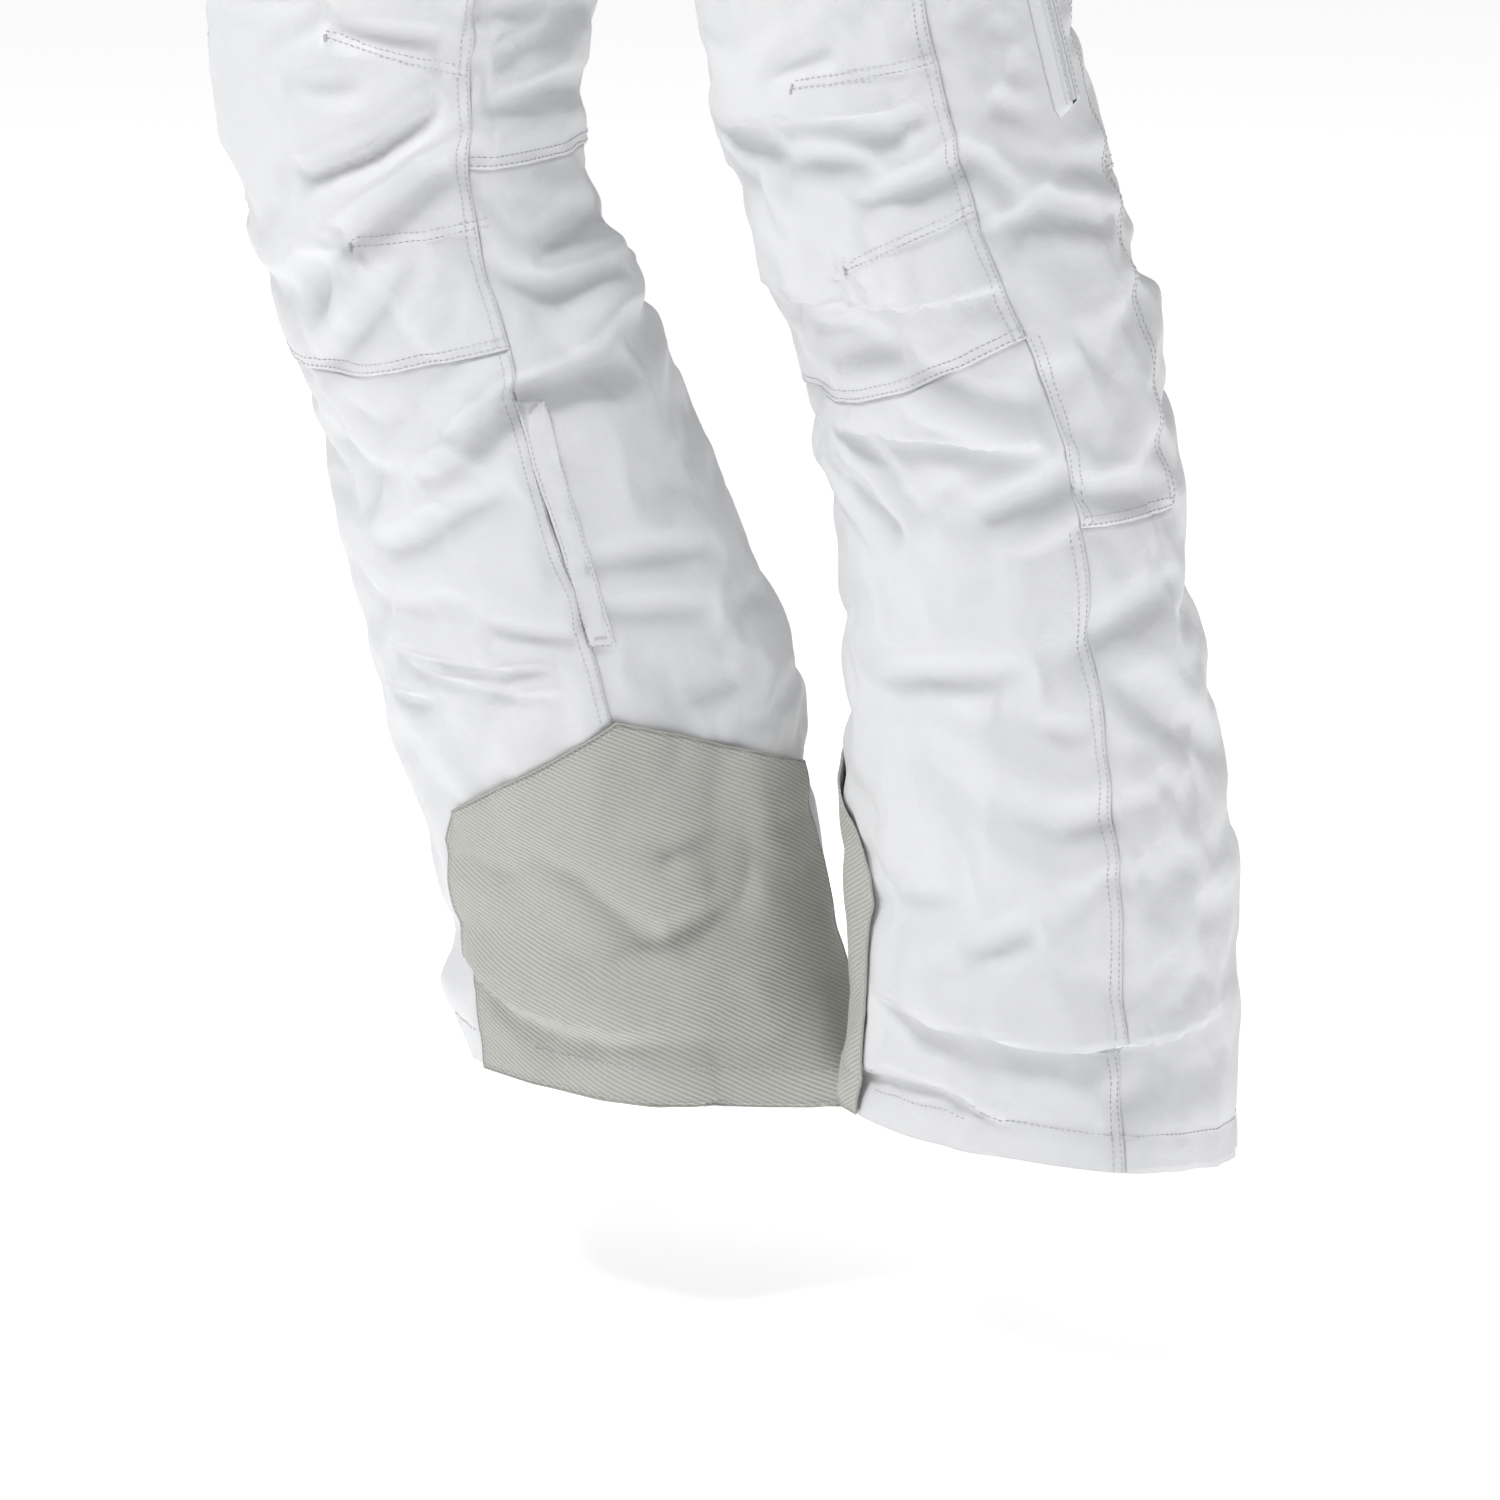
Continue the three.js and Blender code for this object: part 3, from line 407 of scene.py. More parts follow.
# Both legs carry these: under the seat, at the crotch, behind the knee and over the heel.
BOTH_LEGS = [
    (-5, 12, [(-30, -378), (-70, -370), (-110, -350)]),
    (-5, 11, [(-25, -420), (-60, -410), (-98, -398)]),
    (-4, 10, [(-70, -455), (-100, -450), (-125, -462)]),
    (-5, 10, [(18, -352), (45, -340), (78, -318)]),
    (-4, 10, [(16, -392), (50, -382), (84, -372)]),
    (-4, 9, [(20, -420), (48, -414)]),
    (-6, 9, [(-60, -592), (-95, -600), (-122, -586)]),
    (-5, 9, [(-58, -622), (-90, -630), (-120, -642)]),
    (4, 12, [(-62, -608), (-92, -614), (-118, -610)]),
    (-4, 10, [(-62, -664), (-98, -654), (-126, -670)]),
    (-4, 13, [(-120, -828), (-85, -842), (-50, -834)]),
    (-4, 13, [(-125, -905), (-95, -896), (-62, -908)]),
    (-5, 13, [(-125, -985), (-90, -996), (-55, -990)]),
    (-4, 14, [(172, -300), (200, -318), (226, -312)]),
    (-4, 14, [(168, -372), (196, -384)]),
]

# The side of a leg that a fold list leaves bare takes the other leg's folds, a little weaker.
OUTSIDE_FROM = 108
INSIDE_TO = 64
MIRRORED_SHARE = 0.8


def with_other_side(lists):
    whole = {}
    for side_way, own in lists.items():
        other = []
        for depth, width, line in lists[-side_way]:
            places = [place for place, _ in line]
            if min(places) > OUTSIDE_FROM if side_way < 0 else max(places) < INSIDE_TO:
                other.append((depth * MIRRORED_SHARE, width, line))
        whole[side_way] = own + other
    return whole


FOLDS = with_other_side(FOLDS)
for side_way in FOLDS:
    FOLDS[side_way] += BOTH_LEGS
LAPS = with_other_side(LAPS)


def line_distance(place, drop, line):
    """Signed distance above a line in mm, share of the way along it, and the way up from it."""
    spans = [((b[0] - a[0]) * MM_PER_DEGREE, b[1] - a[1]) for a, b in zip(line, line[1:])]
    lengths = [math.hypot(*span) for span in spans]
    best = np.full(len(place), 1e9)
    along = np.zeros(len(place))
    up = np.zeros((len(place), 2))
    done = 0
    for (start, _), span, length in zip(zip(line, line[1:]), spans, lengths):
        x = ((place - start[0] + 180) % 360 - 180) * MM_PER_DEGREE
        y = drop - start[1]
        share = np.clip((x * span[0] + y * span[1]) / length ** 2, 0, 1)
        rise = (-span[1] / length, span[0] / length)
        if rise[1] < 0:
            rise = (-rise[0], -rise[1])
        distance = np.hypot(x - share * span[0], y - share * span[1])
        sign = np.where(x * rise[0] + y * rise[1] >= share * (span[0] * rise[0] + span[1] * rise[1]), 1, -1)
        nearer = distance < abs(best)
        best = np.where(nearer, distance * sign, best)
        along = np.where(nearer, (done + share * length) / sum(lengths), along)
        up[nearer] = rise
        done += length
    return best, along, up


def bell(distance, width):
    return np.exp(-(distance / width) ** 2)


def smooth(value, low, high):
    t = np.clip((value - low) / (high - low), 0, 1)
    return t * t * (3 - 2 * t)


def fold_push(way, place, drop):
    push = np.zeros(len(place))
    for side_way, folds in FOLDS.items():
        for depth, width, line in folds:
            mine = np.nonzero(way == side_way)[0]
            distance, along, _ = line_distance(place[mine], drop[mine], line)
            near = abs(distance) < width * 4
            mine, distance, along = mine[near], distance[near], along[near]
            ends = (4 * along * (1 - along)) ** 0.5 * 0.85 + 0.15
            lips = bell(abs(distance) - 1.8 * width, width) * 0.3
            push[mine] += FOLD_SHARE * depth * ends * (bell(distance, width) - lips)
    return push


def lap_moves(way, place, drop):
    push = np.zeros(len(place))
    slide = np.zeros((len(place), 2))
    for side_way, laps in LAPS.items():
        for depth, width, line in laps:
            mine = np.nonzero(way == side_way)[0]
            distance, along, up = line_distance(place[mine], drop[mine], line)
            near = abs(distance) < width * 4
            mine, distance, along, up = mine[near], distance[near], along[near], up[near]
            ends = (4 * along * (1 - along)) ** 0.6
            over = 0.5 + 0.5 * np.tanh(distance / 1.4)
            swell = over * bell(distance, 1.7 * width) - (1 - over) * 0.8 * bell(distance, width)
            push[mine] += LAP_SHARE * ends * depth * swell
            hang = LAP_SHARE * ends * depth * 0.6 * over * bell(distance, 0.6 * width)
            slide[mine] -= up * hang[:, None]
    return push, slide


# Nothing pushes the cloth where a zip, tab or flap is sewn to it.
CALM_NEAR = 12 * MM
CALM_FAR = 42 * MM
fixings = [n for n in nodes if n.endswith("_zip") or n.startswith(("waist_", "belt_", "seat_pocket"))]
fixing_points = []
for name in fixings:
    corners = points_of(nodes[name].data)
    first = corners[np.argmin(corners[:, 2])]
    last = corners[np.argmax(corners[:, 2])]
    fixing_points.extend(first + (last - first) * share for share in np.linspace(0, 1, 16))
    fixing_points.extend(corners[::4])
fixing_tree = KDTree(len(fixing_points))
for index, point in enumerate(fixing_points):
    fixing_tree.insert(point, index)
fixing_tree.balance()


def freedom(points):
    reach = np.array([fixing_tree.find(point)[2] for point in points])
    return smooth(reach, CALM_NEAR, CALM_FAR) * smooth(-points[:, 2], 0.045, 0.09)


def crumple(points, size_mm, seed):
    scale = 1 / (size_mm * MM)
    return np.array([noise.noise(Vector(point) * scale + Vector((seed, seed, seed))) for point in points])


free = freedom(rest_points)
place = leg_places(rest_points, way)
drop = rest_points[:, 2] / MM
cloth_normals = normals_of(garment.data)
push = fold_push(way, place, drop) + crumple(rest_points, 60, 3) * 3 + crumple(rest_points, 26, 7) * 1.2
set_points(garment.data, rest_points + cloth_normals * (push * free * MM)[:, None])

# The padded cloth is let grow a little against weak springs, which turns the placed folds into
# natural ones. How far a point may move is capped, so that the garment keeps its size.
CLOTH_FRAMES = 20
CLOTH_REACH = 6 * MM
CLOTH_GROWTH = 0.035


def let_settle(piece, hold):
    start = points_of(piece.data)
    group = piece.vertex_groups.new(name="held")
    for level in range(21):
        members = np.nonzero(np.rint(hold * 20) == level)[0]
        group.add(members.tolist(), level / 20, "REPLACE")
    cloth = with_modifier(piece, "CLOTH")
    cloth.settings.quality = 4
    cloth.settings.mass = 0.15
    cloth.settings.tension_stiffness = 20
    cloth.settings.compression_stiffness = 20
    cloth.settings.shear_stiffness = 10
    cloth.settings.bending_stiffness = 0.6
    cloth.settings.vertex_group_mass = "held"
    cloth.settings.pin_stiffness = 1
    cloth.settings.shrink_min = -CLOTH_GROWTH
    cloth.settings.shrink_max = -CLOTH_GROWTH
    cloth.settings.effector_weights.gravity = 0
    cloth.collision_settings.use_collision = False
    cloth.point_cache.frame_end = CLOTH_FRAMES
    for step in range(1, CLOTH_FRAMES + 1):
        bpy.context.scene.frame_set(step)
    applied(piece)
    bpy.context.scene.frame_set(1)
    piece.vertex_groups.clear()
    moved = points_of(piece.data) - start
    far = np.linalg.norm(moved, axis=1, keepdims=True)
    moved *= np.minimum(1, CLOTH_REACH / np.maximum(far, 1e-9))
    set_points(piece.data, start + moved)


# Darts shape the knee: each is a short stitched line from a long seam, some with a gathered tip.
DARTS = [
    [(51, -467), (27, -478), (5, -488)],
    [(52, -582), (27, -576), (5, -570)],
    [(120, -479), (145, -471), (165, -464)],
    [(121, -578), (143, -560), (163, -545)],
]
DART_TIPS = [(52, -582), (121, -578)]


def dart_push(place, drop):
    push = np.zeros(len(place))
    for line in DARTS:
        distance, along, _ = line_distance(place, drop, line)
        ends = smooth(along, 0, 0.1) * smooth(1 - along, -0.02, 0.05)
        over = 0.5 + 0.5 * np.tanh(distance / 1.2)
        push += ends * (over * 0.9 * bell(distance, 5) - (1 - over) * 0.9 * bell(distance, 5))
        push -= ends * 0.8 * bell(distance, 9)
    for tip_place, tip_drop in DART_TIPS:
        x = ((place - tip_place + 180) % 360 - 180) * MM_PER_DEGREE
        y = drop - tip_drop
        reach = np.hypot(x, y)
        push += -2.2 * bell(reach, 5) + 1.3 * np.cos(6 * np.arctan2(y, x)) * bell(reach - 8, 6)
    return push


let_settle(garment, 1 - 0.9 * free)

subdivided(garment, 1)
fine_points = points_of(garment.data)
way = sides_of(garment.data)
place = leg_places(fine_points, way)
push, slide = lap_moves(way, place, fine_points[:, 2] / MM)
push += dart_push(place, fine_points[:, 2] / MM)
push += crumple(fine_points, 13, 11) * 0.35 * smooth(-fine_points[:, 2], 0.05, 0.1)
around = np.zeros_like(fine_points)
for side_way in (1, -1):
    across, back = middle_at(side_way, fine_points[:, 2])
    spoke = np.stack([fine_points[:, 0] - across, fine_points[:, 1] - back], 1)
    spoke /= np.maximum(np.linalg.norm(spoke, axis=1, keepdims=True), 1e-6)
    mine = way == side_way
    around[mine, 0] = -spoke[mine, 1] * -side_way
    around[mine, 1] = spoke[mine, 0] * -side_way
sideways = around * slide[:, :1]
sideways[:, 2] += slide[:, 1]
set_points(garment.data, fine_points + (normals_of(garment.data) * push[:, None] + sideways) * MM)

# Each cut edge is turned under: a soft roll at the very edge and a dip at its stitches.
HEM_ROW_RISE = 21 * MM
HEM_FILL_RISE = 10 * MM
fine_points = points_of(garment.data)
counted = {}
for polygon in garment.data.polygons:
    for key in polygon.edge_keys:
        counted[key] = counted.get(key, 0) + 1
rim = sorted({v for key, uses in counted.items() if uses == 1 for v in key})
rim_tree = KDTree(len(rim))
for index in rim:
    rim_tree.insert(fine_points[index], index)
rim_tree.balance()
near_rim = np.nonzero((fine_points[:, 2] > -0.06) | (fine_points[:, 2] < -1.0))[0]
from_rim = np.full(len(fine_points), 1.0)
from_rim[near_rim] = [rim_tree.find(fine_points[index])[2] for index in near_rim]
hem_push = 0.5 * bell(from_rim, 3 * MM) - 0.8 * bell(from_rim - HEM_ROW_RISE, 2.5 * MM)
hem_push += 0.5 * bell(from_rim - HEM_FILL_RISE, 7 * MM)
set_points(garment.data, fine_points + normals_of(garment.data) * (hem_push * MM)[:, None])

# Seams: where two panels meet, one lies over the other and stands a little proud of it. The
# cloth dips at the seam and fills out again past its double row of stitches.
SEAM_ORDER = ["waistband", "front_panel", "side_panel", "seat_panel", "shin_panel", "calf_panel"]
SEAM_STEP = 0.55 * MM
SEAM_STEP_REACH = 4.5 * MM
SEAM_DIP = 0.9 * MM
SEAM_DIP_REACH = 9 * MM
SEAM_FILL = 0.5 * MM
SHELL_THICKNESS = 1.1 * MM
STITCH_ROWS = (1.8 * MM, 6.6 * MM)

mesh = garment.data
panel_of_face = np.empty(len(mesh.polygons), int)
mesh.polygons.foreach_get("material_index", panel_of_face)
face_normals = normals_of(mesh)
whole_points = points_of(mesh)
beside_edge = {}
for polygon in mesh.polygons:
    for key in polygon.edge_keys:
        beside_edge.setdefault(key, []).append(polygon.index)


def panel_name(number):
    return f"{PANELS[number % len(PANELS)]}_{SIDES[number // len(PANELS)]}"


def seam_rank(number):
    return SEAM_ORDER.index(PANELS[number % len(PANELS)]) * 2 + number // len(PANELS)


# Every seam as chains of points, keyed by (upper panel, lower panel).
seam_edges = {}
open_edges = []
for key, faces in beside_edge.items():
    if len(faces) == 1:
        open_edges.append(key)
    elif panel_of_face[faces[0]] != panel_of_face[faces[1]]:
        pair = tuple(sorted((panel_of_face[faces[0]], panel_of_face[faces[1]]), key=seam_rank))
        seam_edges.setdefault(pair, []).append(key)


def chains(edges):
    links = {}
    for a, b in edges:
        links.setdefault(a, []).append(b)
        links.setdefault(b, []).append(a)
    starts = [v for v, ends in links.items() if len(ends) == 1]
    used = set()
    for start in starts + list(links):
        if start in used:
            continue
        chain = [start]
        used.add(start)
        while True:
            ahead = [v for v in links[chain[-1]] if v not in used]
            if not ahead:
                break
            chain.append(ahead[0])
            used.add(ahead[0])
        if chain[0] in links[chain[-1]] and len(chain) > 2:
            chain.append(chain[0])
        if len(chain) > 2:
            yield chain


seam_vertices = {}
for (over, under), edges in seam_edges.items():
    for number, sign in ((over, 1), (under, -1)):
        for key in edges:
            for vertex in key:
                seam_vertices.setdefault(number, {})[vertex] = sign

shell_pieces = {}
for number in range(len(PANELS) * len(SIDES)):
    name = panel_name(number)
    sheet = bmesh.new()
    sheet.from_mesh(mesh)
    mark = sheet.verts.layers.int.new("whole")
    for vertex in sheet.verts:
        vertex[mark] = vertex.index
    bmesh.ops.delete(sheet, geom=[f for f in sheet.faces if f.material_index != number], context="FACES")
    for face in sheet.faces:
        face.material_index = 0
    whole = np.array([vertex[mark] for vertex in sheet.verts])
    tree = KDTree(len(seam_vertices[number]))
    for vertex, sign in seam_vertices[number].items():
        tree.insert(whole_points[vertex], sign + 1)
    tree.balance()
    found = [tree.find(whole_points[index]) for index in whole]
    reach = np.array([f[2] for f in found])
    sign = np.array([f[1] for f in found]) - 1
    push = sign * SEAM_STEP * bell(reach, SEAM_STEP_REACH) - SEAM_DIP * bell(reach, SEAM_DIP_REACH)
    push += SEAM_FILL * bell(reach - 14 * MM, 6 * MM)
    moved = whole_points[whole] + face_normals[whole] * push[:, None]
    for vertex, point in zip(sheet.verts, moved):
        vertex.co = point
    piece = as_object(f"{name}_cloth", sheet, shell_fabric)
    shell_pieces[name] = piece


def surface_of(mesh_data):
    faces = [f.vertices for f in mesh_data.polygons]
    return BVHTree.FromPolygons([v.co for v in mesh_data.vertices], faces)


lie_on = {name: surface_of(piece.data) for name, piece in shell_pieces.items()}
side_faces = {side: [tuple(f.vertices) for f in mesh.polygons if f.material_index // len(PANELS) == number]
              for number, side in enumerate(SIDES)}
leg_trees = {side: BVHTree.FromPolygons(whole_points.tolist(), faces) for side, faces in side_faces.items()}
whole_tree = surface_of(mesh)
for name, piece in shell_pieces.items():
    with_modifier(piece, "SOLIDIFY", thickness=SHELL_THICKNESS, offset=-1, use_even_offset=False)
    applied(piece)
    piece.data.shade_smooth()
    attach(piece, "pants")
    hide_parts(name)
bpy.data.objects.remove(garment)

# ---- Topstitching --------------------------------------------------------------------------
# Polyester thread, tone on tone, but drawn greyer than the cloth: partly its own tone and partly painted
# shade for the small shadows at its needle holes. Two rows of lockstitches hold each lapped seam down.

STITCH_PITCH = 3.4 * MM
STITCH_LENGTH = 2.7 * MM
STITCH_WIDTH = 0.75 * MM
STITCH_RISE = 0.25 * MM


def thread_material(name, hex_value):
    material, tree, shader = new_material(name)
    place = add_node(tree, "ShaderNodeTexCoord").outputs["Object"]
    ply = add_node(tree, "ShaderNodeTexNoise", {"Scale": 1800, "Detail": 2}, {"Vector": place})
    # Fine noise mixes the thread's tone with a darker grey. The grey of the drawn thread is partly painted
    # shade for the shadows at the needle holes.
    shade = add_node(tree, "ShaderNodeMix",
                     {"data_type": "RGBA", 6: colour(hex_value), 7: colour("#C6C7CA")},
                     {0: ply.outputs["Fac"]})
    tree.links.new(shade.outputs[2], shader.inputs["Base Color"])
    bump = add_node(tree, "ShaderNodeBump", {"Strength": 0.4, "Distance": 0.0002},
                    {"Height": ply.outputs["Fac"]})
    tree.links.new(bump.outputs["Normal"], shader.inputs["Normal"])
    shader.inputs["Roughness"].default_value = 0.45
    return material


# DDDDDF, mixed with the darker grey, makes the thread greyer than the cloth: partly painted shade for the
# needle-hole shadows.
thread_with_painted_shade = thread_material("trilobal_polyester_thread_painted_shade", "#DDDDDF")


def evenly(points, pitch):
    """Points at an even pitch along a line, each with the way ahead."""
    line = np.array(points)
    steps = np.linalg.norm(np.diff(line, axis=0), axis=1)
    run = np.concatenate([[0], np.cumsum(steps)])
    marks = np.arange(pitch / 2, run[-1], pitch)
    spots = np.stack([np.interp(marks, run, line[:, k]) for k in range(3)], 1)
    ahead = np.stack([np.interp(marks + pitch / 3, run, line[:, k]) for k in range(3)], 1)
    return [(Vector(a), Vector(b) - Vector(a)) for a, b in zip(spots, ahead) if (b - a).any()]


def add_stitches(stitches, points, tree, pitch=STITCH_PITCH, length=STITCH_LENGTH, width=STITCH_WIDTH):
    for spot, ahead in evenly(points, pitch):
        rest, normal, _, _ = tree.find_nearest(spot)
        if rest is None:
            continue
        along = (ahead - normal * ahead.dot(normal)).normalized()
        side = normal.cross(along)
        turn = Matrix((along, side, normal)).transposed().to_4x4()
        scale = Matrix.Diagonal((length, width, STITCH_WIDTH, 1))
        place = Matrix.Translation(rest + normal * STITCH_RISE) @ turn @ scale
        bmesh.ops.create_icosphere(stitches, subdivisions=1, radius=0.5, matrix=place)


def merged(parts):
    whole = bmesh.new()
    for part in parts:
        kept = bpy.data.meshes.new("part")
        part.to_mesh(kept)
        part.free()
        whole.from_mesh(kept)
        bpy.data.meshes.remove(kept)
    return whole


def inset_line(chain, inward, offset):
    """A seam's chain moved into its upper panel by an offset, evened out."""
    line = whole_points[chain]
    ahead = np.gradient(line, axis=0)
    side = np.cross(face_normals[chain], ahead)
    side /= np.maximum(np.linalg.norm(side, axis=1, keepdims=True), 1e-9)
    moved = line + side * (offset * inward)
    for _ in range(3):
        moved[1:-1] = (moved[:-2] + moved[1:-1] * 2 + moved[2:]) / 4
    return moved


face_middles = np.empty(len(mesh.polygons) * 3)
mesh.polygons.foreach_get("center", face_middles)
face_middles = face_middles.reshape(-1, 3)
stitch_parts = {side: [] for side in SIDES}
for (over, under), edges in seam_edges.items():
    upper = panel_name(over)
    for chain in chains(edges):
        middle = len(chain) // 2
        a, b = chain[middle - 1], chain[middle]
        key = (min(a, b), max(a, b))
        owner = next(f for f in beside_edge[key] if panel_of_face[f] == over)
        side_way = np.cross(face_normals[b], whole_points[b] - whole_points[a])
        inward = 1 if side_way @ (face_middles[owner] - whole_points[b]) > 0 else -1
        for row in STITCH_ROWS:
            part = bmesh.new()
            add_stitches(part, inset_line(chain, inward, row), lie_on[upper])
            stitch_parts[SIDES[over // len(PANELS)]].append(part)

# Later pieces and stitches find the cloth under them by the leg they are on.


LEG_CLEAR = 0.3          # a point outside any leg, and one near its surface, from its middle line
LEG_HALF = 0.11


def on_leg(tree, way, place, drop):
    across, back = middle_at(way, drop * MM)
    turn = math.radians(place)
    outward = Vector((-math.cos(turn) * way, -math.sin(turn), 0))
    axis = Vector((across, back, drop * MM))
    spot, normal, _, _ = tree.ray_cast(axis + outward * LEG_CLEAR, -outward)
    if spot is None or (spot - axis).dot(outward) < 0:
        spot, normal, _, _ = tree.find_nearest(axis + outward * LEG_HALF)
    return spot, normal


def leg_line(tree, way, line, steps=24):
    shares = np.linspace(0, 1, len(line))
    wanted = np.linspace(0, 1, steps)
    places = np.interp(wanted, shares, [p for p, _ in line])
    drops = np.interp(wanted, shares, [d for _, d in line])
    return [on_leg(tree, way, p, d)[0] for p, d in zip(places, drops)]


def add_bartack(stitches, tree, spot, along, length=9 * MM, width=2.4 * MM):
    start, end = spot - along * length / 2, spot + along * length / 2
    add_stitches(stitches, [start, spot, end], tree, pitch=0.8 * MM, length=0.7 * MM, width=width)


WAYS = {"left": 1, "right": -1}
for side, way_number in WAYS.items():
    tree = leg_trees[side]
    for line in DARTS:
        part = bmesh.new()
        spots = leg_line(tree, way_number, line)
        add_stitches(part, spots, tree)
        above = [spot + Vector((0, 0, STITCH_ROWS[1] - STITCH_ROWS[0])) for spot in spots]
        add_stitches(part, above, tree)
        add_bartack(part, tree, spots[0], Vector((0, 0, 1)), 6 * MM)
        stitch_parts[side].append(part)

# ---- Scuff guards --------------------------------------------------------------------------
# Hard-wearing nylon twill, warm grey, laid over the inside of each lower leg and caught in the
# hem. A darker binding runs round its cut edge.

GUARD_PLY = 1.8 * MM
GUARD_LIFT = 1.7 * MM
GUARD_THICKNESS = 0.8 * MM
GUARD_OVERLAP = 5 * MM
TWILL_MM = 2.4           # real ribs are 0.6 mm apart, drawn coarser so that the twill shows
TWILL_TURN = math.radians(-32)
BINDING_RADIUS = 0.5 * MM


def twill_material(name, light, dark, rib_mm, turn):
    material, tree, shader = new_material(name)
    cloth = add_node(tree, "ShaderNodeUVMap", {"uv_map": "Cloth"}).outputs["UV"]
    turned = add_node(tree, "ShaderNodeMapping", {"Rotation": (0, 0, turn)}, {"Vector": cloth})
    ribs = add_node(tree, "ShaderNodeTexWave", {"Scale": math.tau / (20 * rib_mm * MM), "Distortion": 0.6,
                    "Detail": 2, "Detail Scale": 40, "bands_direction": "Y"},
                    {"Vector": turned.outputs["Vector"]})
    place = add_node(tree, "ShaderNodeTexCoord").outputs["Object"]
    fleck = add_node(tree, "ShaderNodeTexNoise", {"Scale": 420, "Detail": 3}, {"Vector": place})
    broad = add_node(tree, "ShaderNodeTexNoise", {"Scale": 18, "Detail": 2}, {"Vector": place})
    rib_shade = add_node(tree, "ShaderNodeMix", {"data_type": "RGBA", 6: colour(dark), 7: colour(light)},
                         {0: ribs.outputs["Fac"]})
    mixed = add_node(tree, "ShaderNodeMath", {"operation": "MULTIPLY", 1: 0.5}, {0: fleck.outputs["Fac"]})
    shade = add_node(tree, "ShaderNodeMix", {"data_type": "RGBA", 7: colour(light)},
                     {0: mixed.outputs["Value"], 6: rib_shade.outputs[2]})
    worn = add_node(tree, "ShaderNodeMix", {"data_type": "RGBA", 7: colour(dark)}, {6: shade.outputs[2]})
    wear = add_node(tree, "ShaderNodeMath", {"operation": "MULTIPLY", 1: 0.35}, {0: broad.outputs["Fac"]})
    tree.links.new(wear.outputs["Value"], worn.inputs[0])
    tree.links.new(worn.outputs[2], shader.inputs["Base Color"])
    bump = add_node(tree, "ShaderNodeBump", {"Strength": 0.55, "Distance": 0.0005},
                    {"Height": ribs.outputs["Fac"]})
    rough = add_node(tree, "ShaderNodeBump", {"Strength": 0.3, "Distance": 0.0004},
                     {"Height": fleck.outputs["Fac"], "Normal": bump.outputs["Normal"]})
    tree.links.new(rough.outputs["Normal"], shader.inputs["Normal"])
    shader.inputs["Roughness"].default_value = 0.7
    shader.inputs["Sheen Weight"].default_value = 0.1
    return material


guard_twill = twill_material("nylon_twill_guard", "#D2D2CD", "#A2A29B", TWILL_MM, TWILL_TURN)
guard_binding = cloth_material("nylon_binding", "#BDBDB8", "#A6A6A0", 0.6, 0.1, WEAVE_MM, 0.5, 0.2)


def bridged(mesh_data, points, side_way, reach=3):
    """Cloth on cloth spans the narrow laps under it instead of dropping into them."""
    across, back = middle_at(side_way, points[:, 2])
    axis = np.column_stack([across, back, points[:, 2]])
    spokes = points - axis
    close = np.linalg.norm(spokes, axis=1)
    ends = np.array([edge.vertices[:] for edge in mesh_data.edges])
    far = close.copy()
    for _ in range(reach):
        grown = far.copy()
        np.maximum.at(grown, ends[:, 0], far[ends[:, 1]])
        np.maximum.at(grown, ends[:, 1], far[ends[:, 0]])
        far = grown
    uses = np.bincount(ends.ravel(), minlength=len(far))
    for _ in range(reach):
        total = np.bincount(ends[:, 0], far[ends[:, 1]], len(far))
        total += np.bincount(ends[:, 1], far[ends[:, 0]], len(far))
        far = np.maximum(total / uses, close)
    return axis + spokes * (far / close)[:, None]


def laid_on(name, sheet, tree, side_way, lift, material, overlap=0):
    """A patch of cloth laid over the leg: each point goes straight out to the cloth under it."""
    quads(sheet)
    piece = as_object(name, sheet, material)
    with_modifier(piece, "SUBSURF", levels=4, render_levels=4, subdivision_type="SIMPLE")
    applied(piece)
    points = points_of(piece.data)
    places = leg_places(points, side_way)
    moved = []
    lowest = points[:, 2].min()
    for point, turn in zip(points, places):
        down = overlap * (1 - smooth(point[2] - lowest, 0.01, 0.05))
        spot, normal = on_leg(tree, side_way, turn, (point[2] - down) / MM)
        moved.append(spot + normal * lift)
    set_points(piece.data, bridged(piece.data, np.array(moved), side_way))
    return piece, places


def add_cloth_map(piece, places):
    layer = piece.data.uv_layers.new(name="Cloth")
    middle = np.degrees(np.angle(np.exp(1j * np.radians(places)).mean()))
    turned = (places - middle + 180) % 360 - 180
    points = points_of(piece.data)
    for loop in piece.data.loops:
        index = loop.vertex_index
        layer.data[loop.index].uv = (turned[index] * MM_PER_DEGREE * MM, points[index, 2])


def border_of(mesh_data):
    count = {}
    for polygon in mesh_data.polygons:
        for key in polygon.edge_keys:
            count[key] = count.get(key, 0) + 1
    chain = max(chains([key for key, uses in count.items() if uses == 1]), key=len)
    return points_of(mesh_data)[chain]


def tube_along(name, line, radius, material):
    curve = bpy.data.curves.new(name, "CURVE")
    curve.dimensions = "3D"
    curve.bevel_depth = radius
    curve.bevel_resolution = 2
    spline = curve.splines.new("POLY")
    spline.points.add(len(line) - 1)
    for point, spot in zip(spline.points, line):
        point.co = (*spot, 1)
    spline.use_cyclic_u = True
    drawn = bpy.data.objects.new(name, curve)
    bpy.context.scene.collection.objects.link(drawn)
    bpy.context.view_layer.update()
    tube = bpy.data.meshes.new_from_object(drawn.evaluated_get(bpy.context.evaluated_depsgraph_get()))
    bpy.data.objects.remove(drawn)
    tube.materials.clear()
    tube.materials.append(material)
    tube.shade_smooth()
    piece = bpy.data.objects.new(name, tube)
    bpy.context.scene.collection.objects.link(piece)
    return piece


def eased_in(line, towards, distance):
    step = towards - line
    return line + step / np.maximum(np.linalg.norm(step, axis=1, keepdims=True), 1e-9) * distance


def finished(piece, body, slot, *stood_for):
    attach(piece, body)
    if stood_for:
        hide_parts(*stood_for)
    return piece


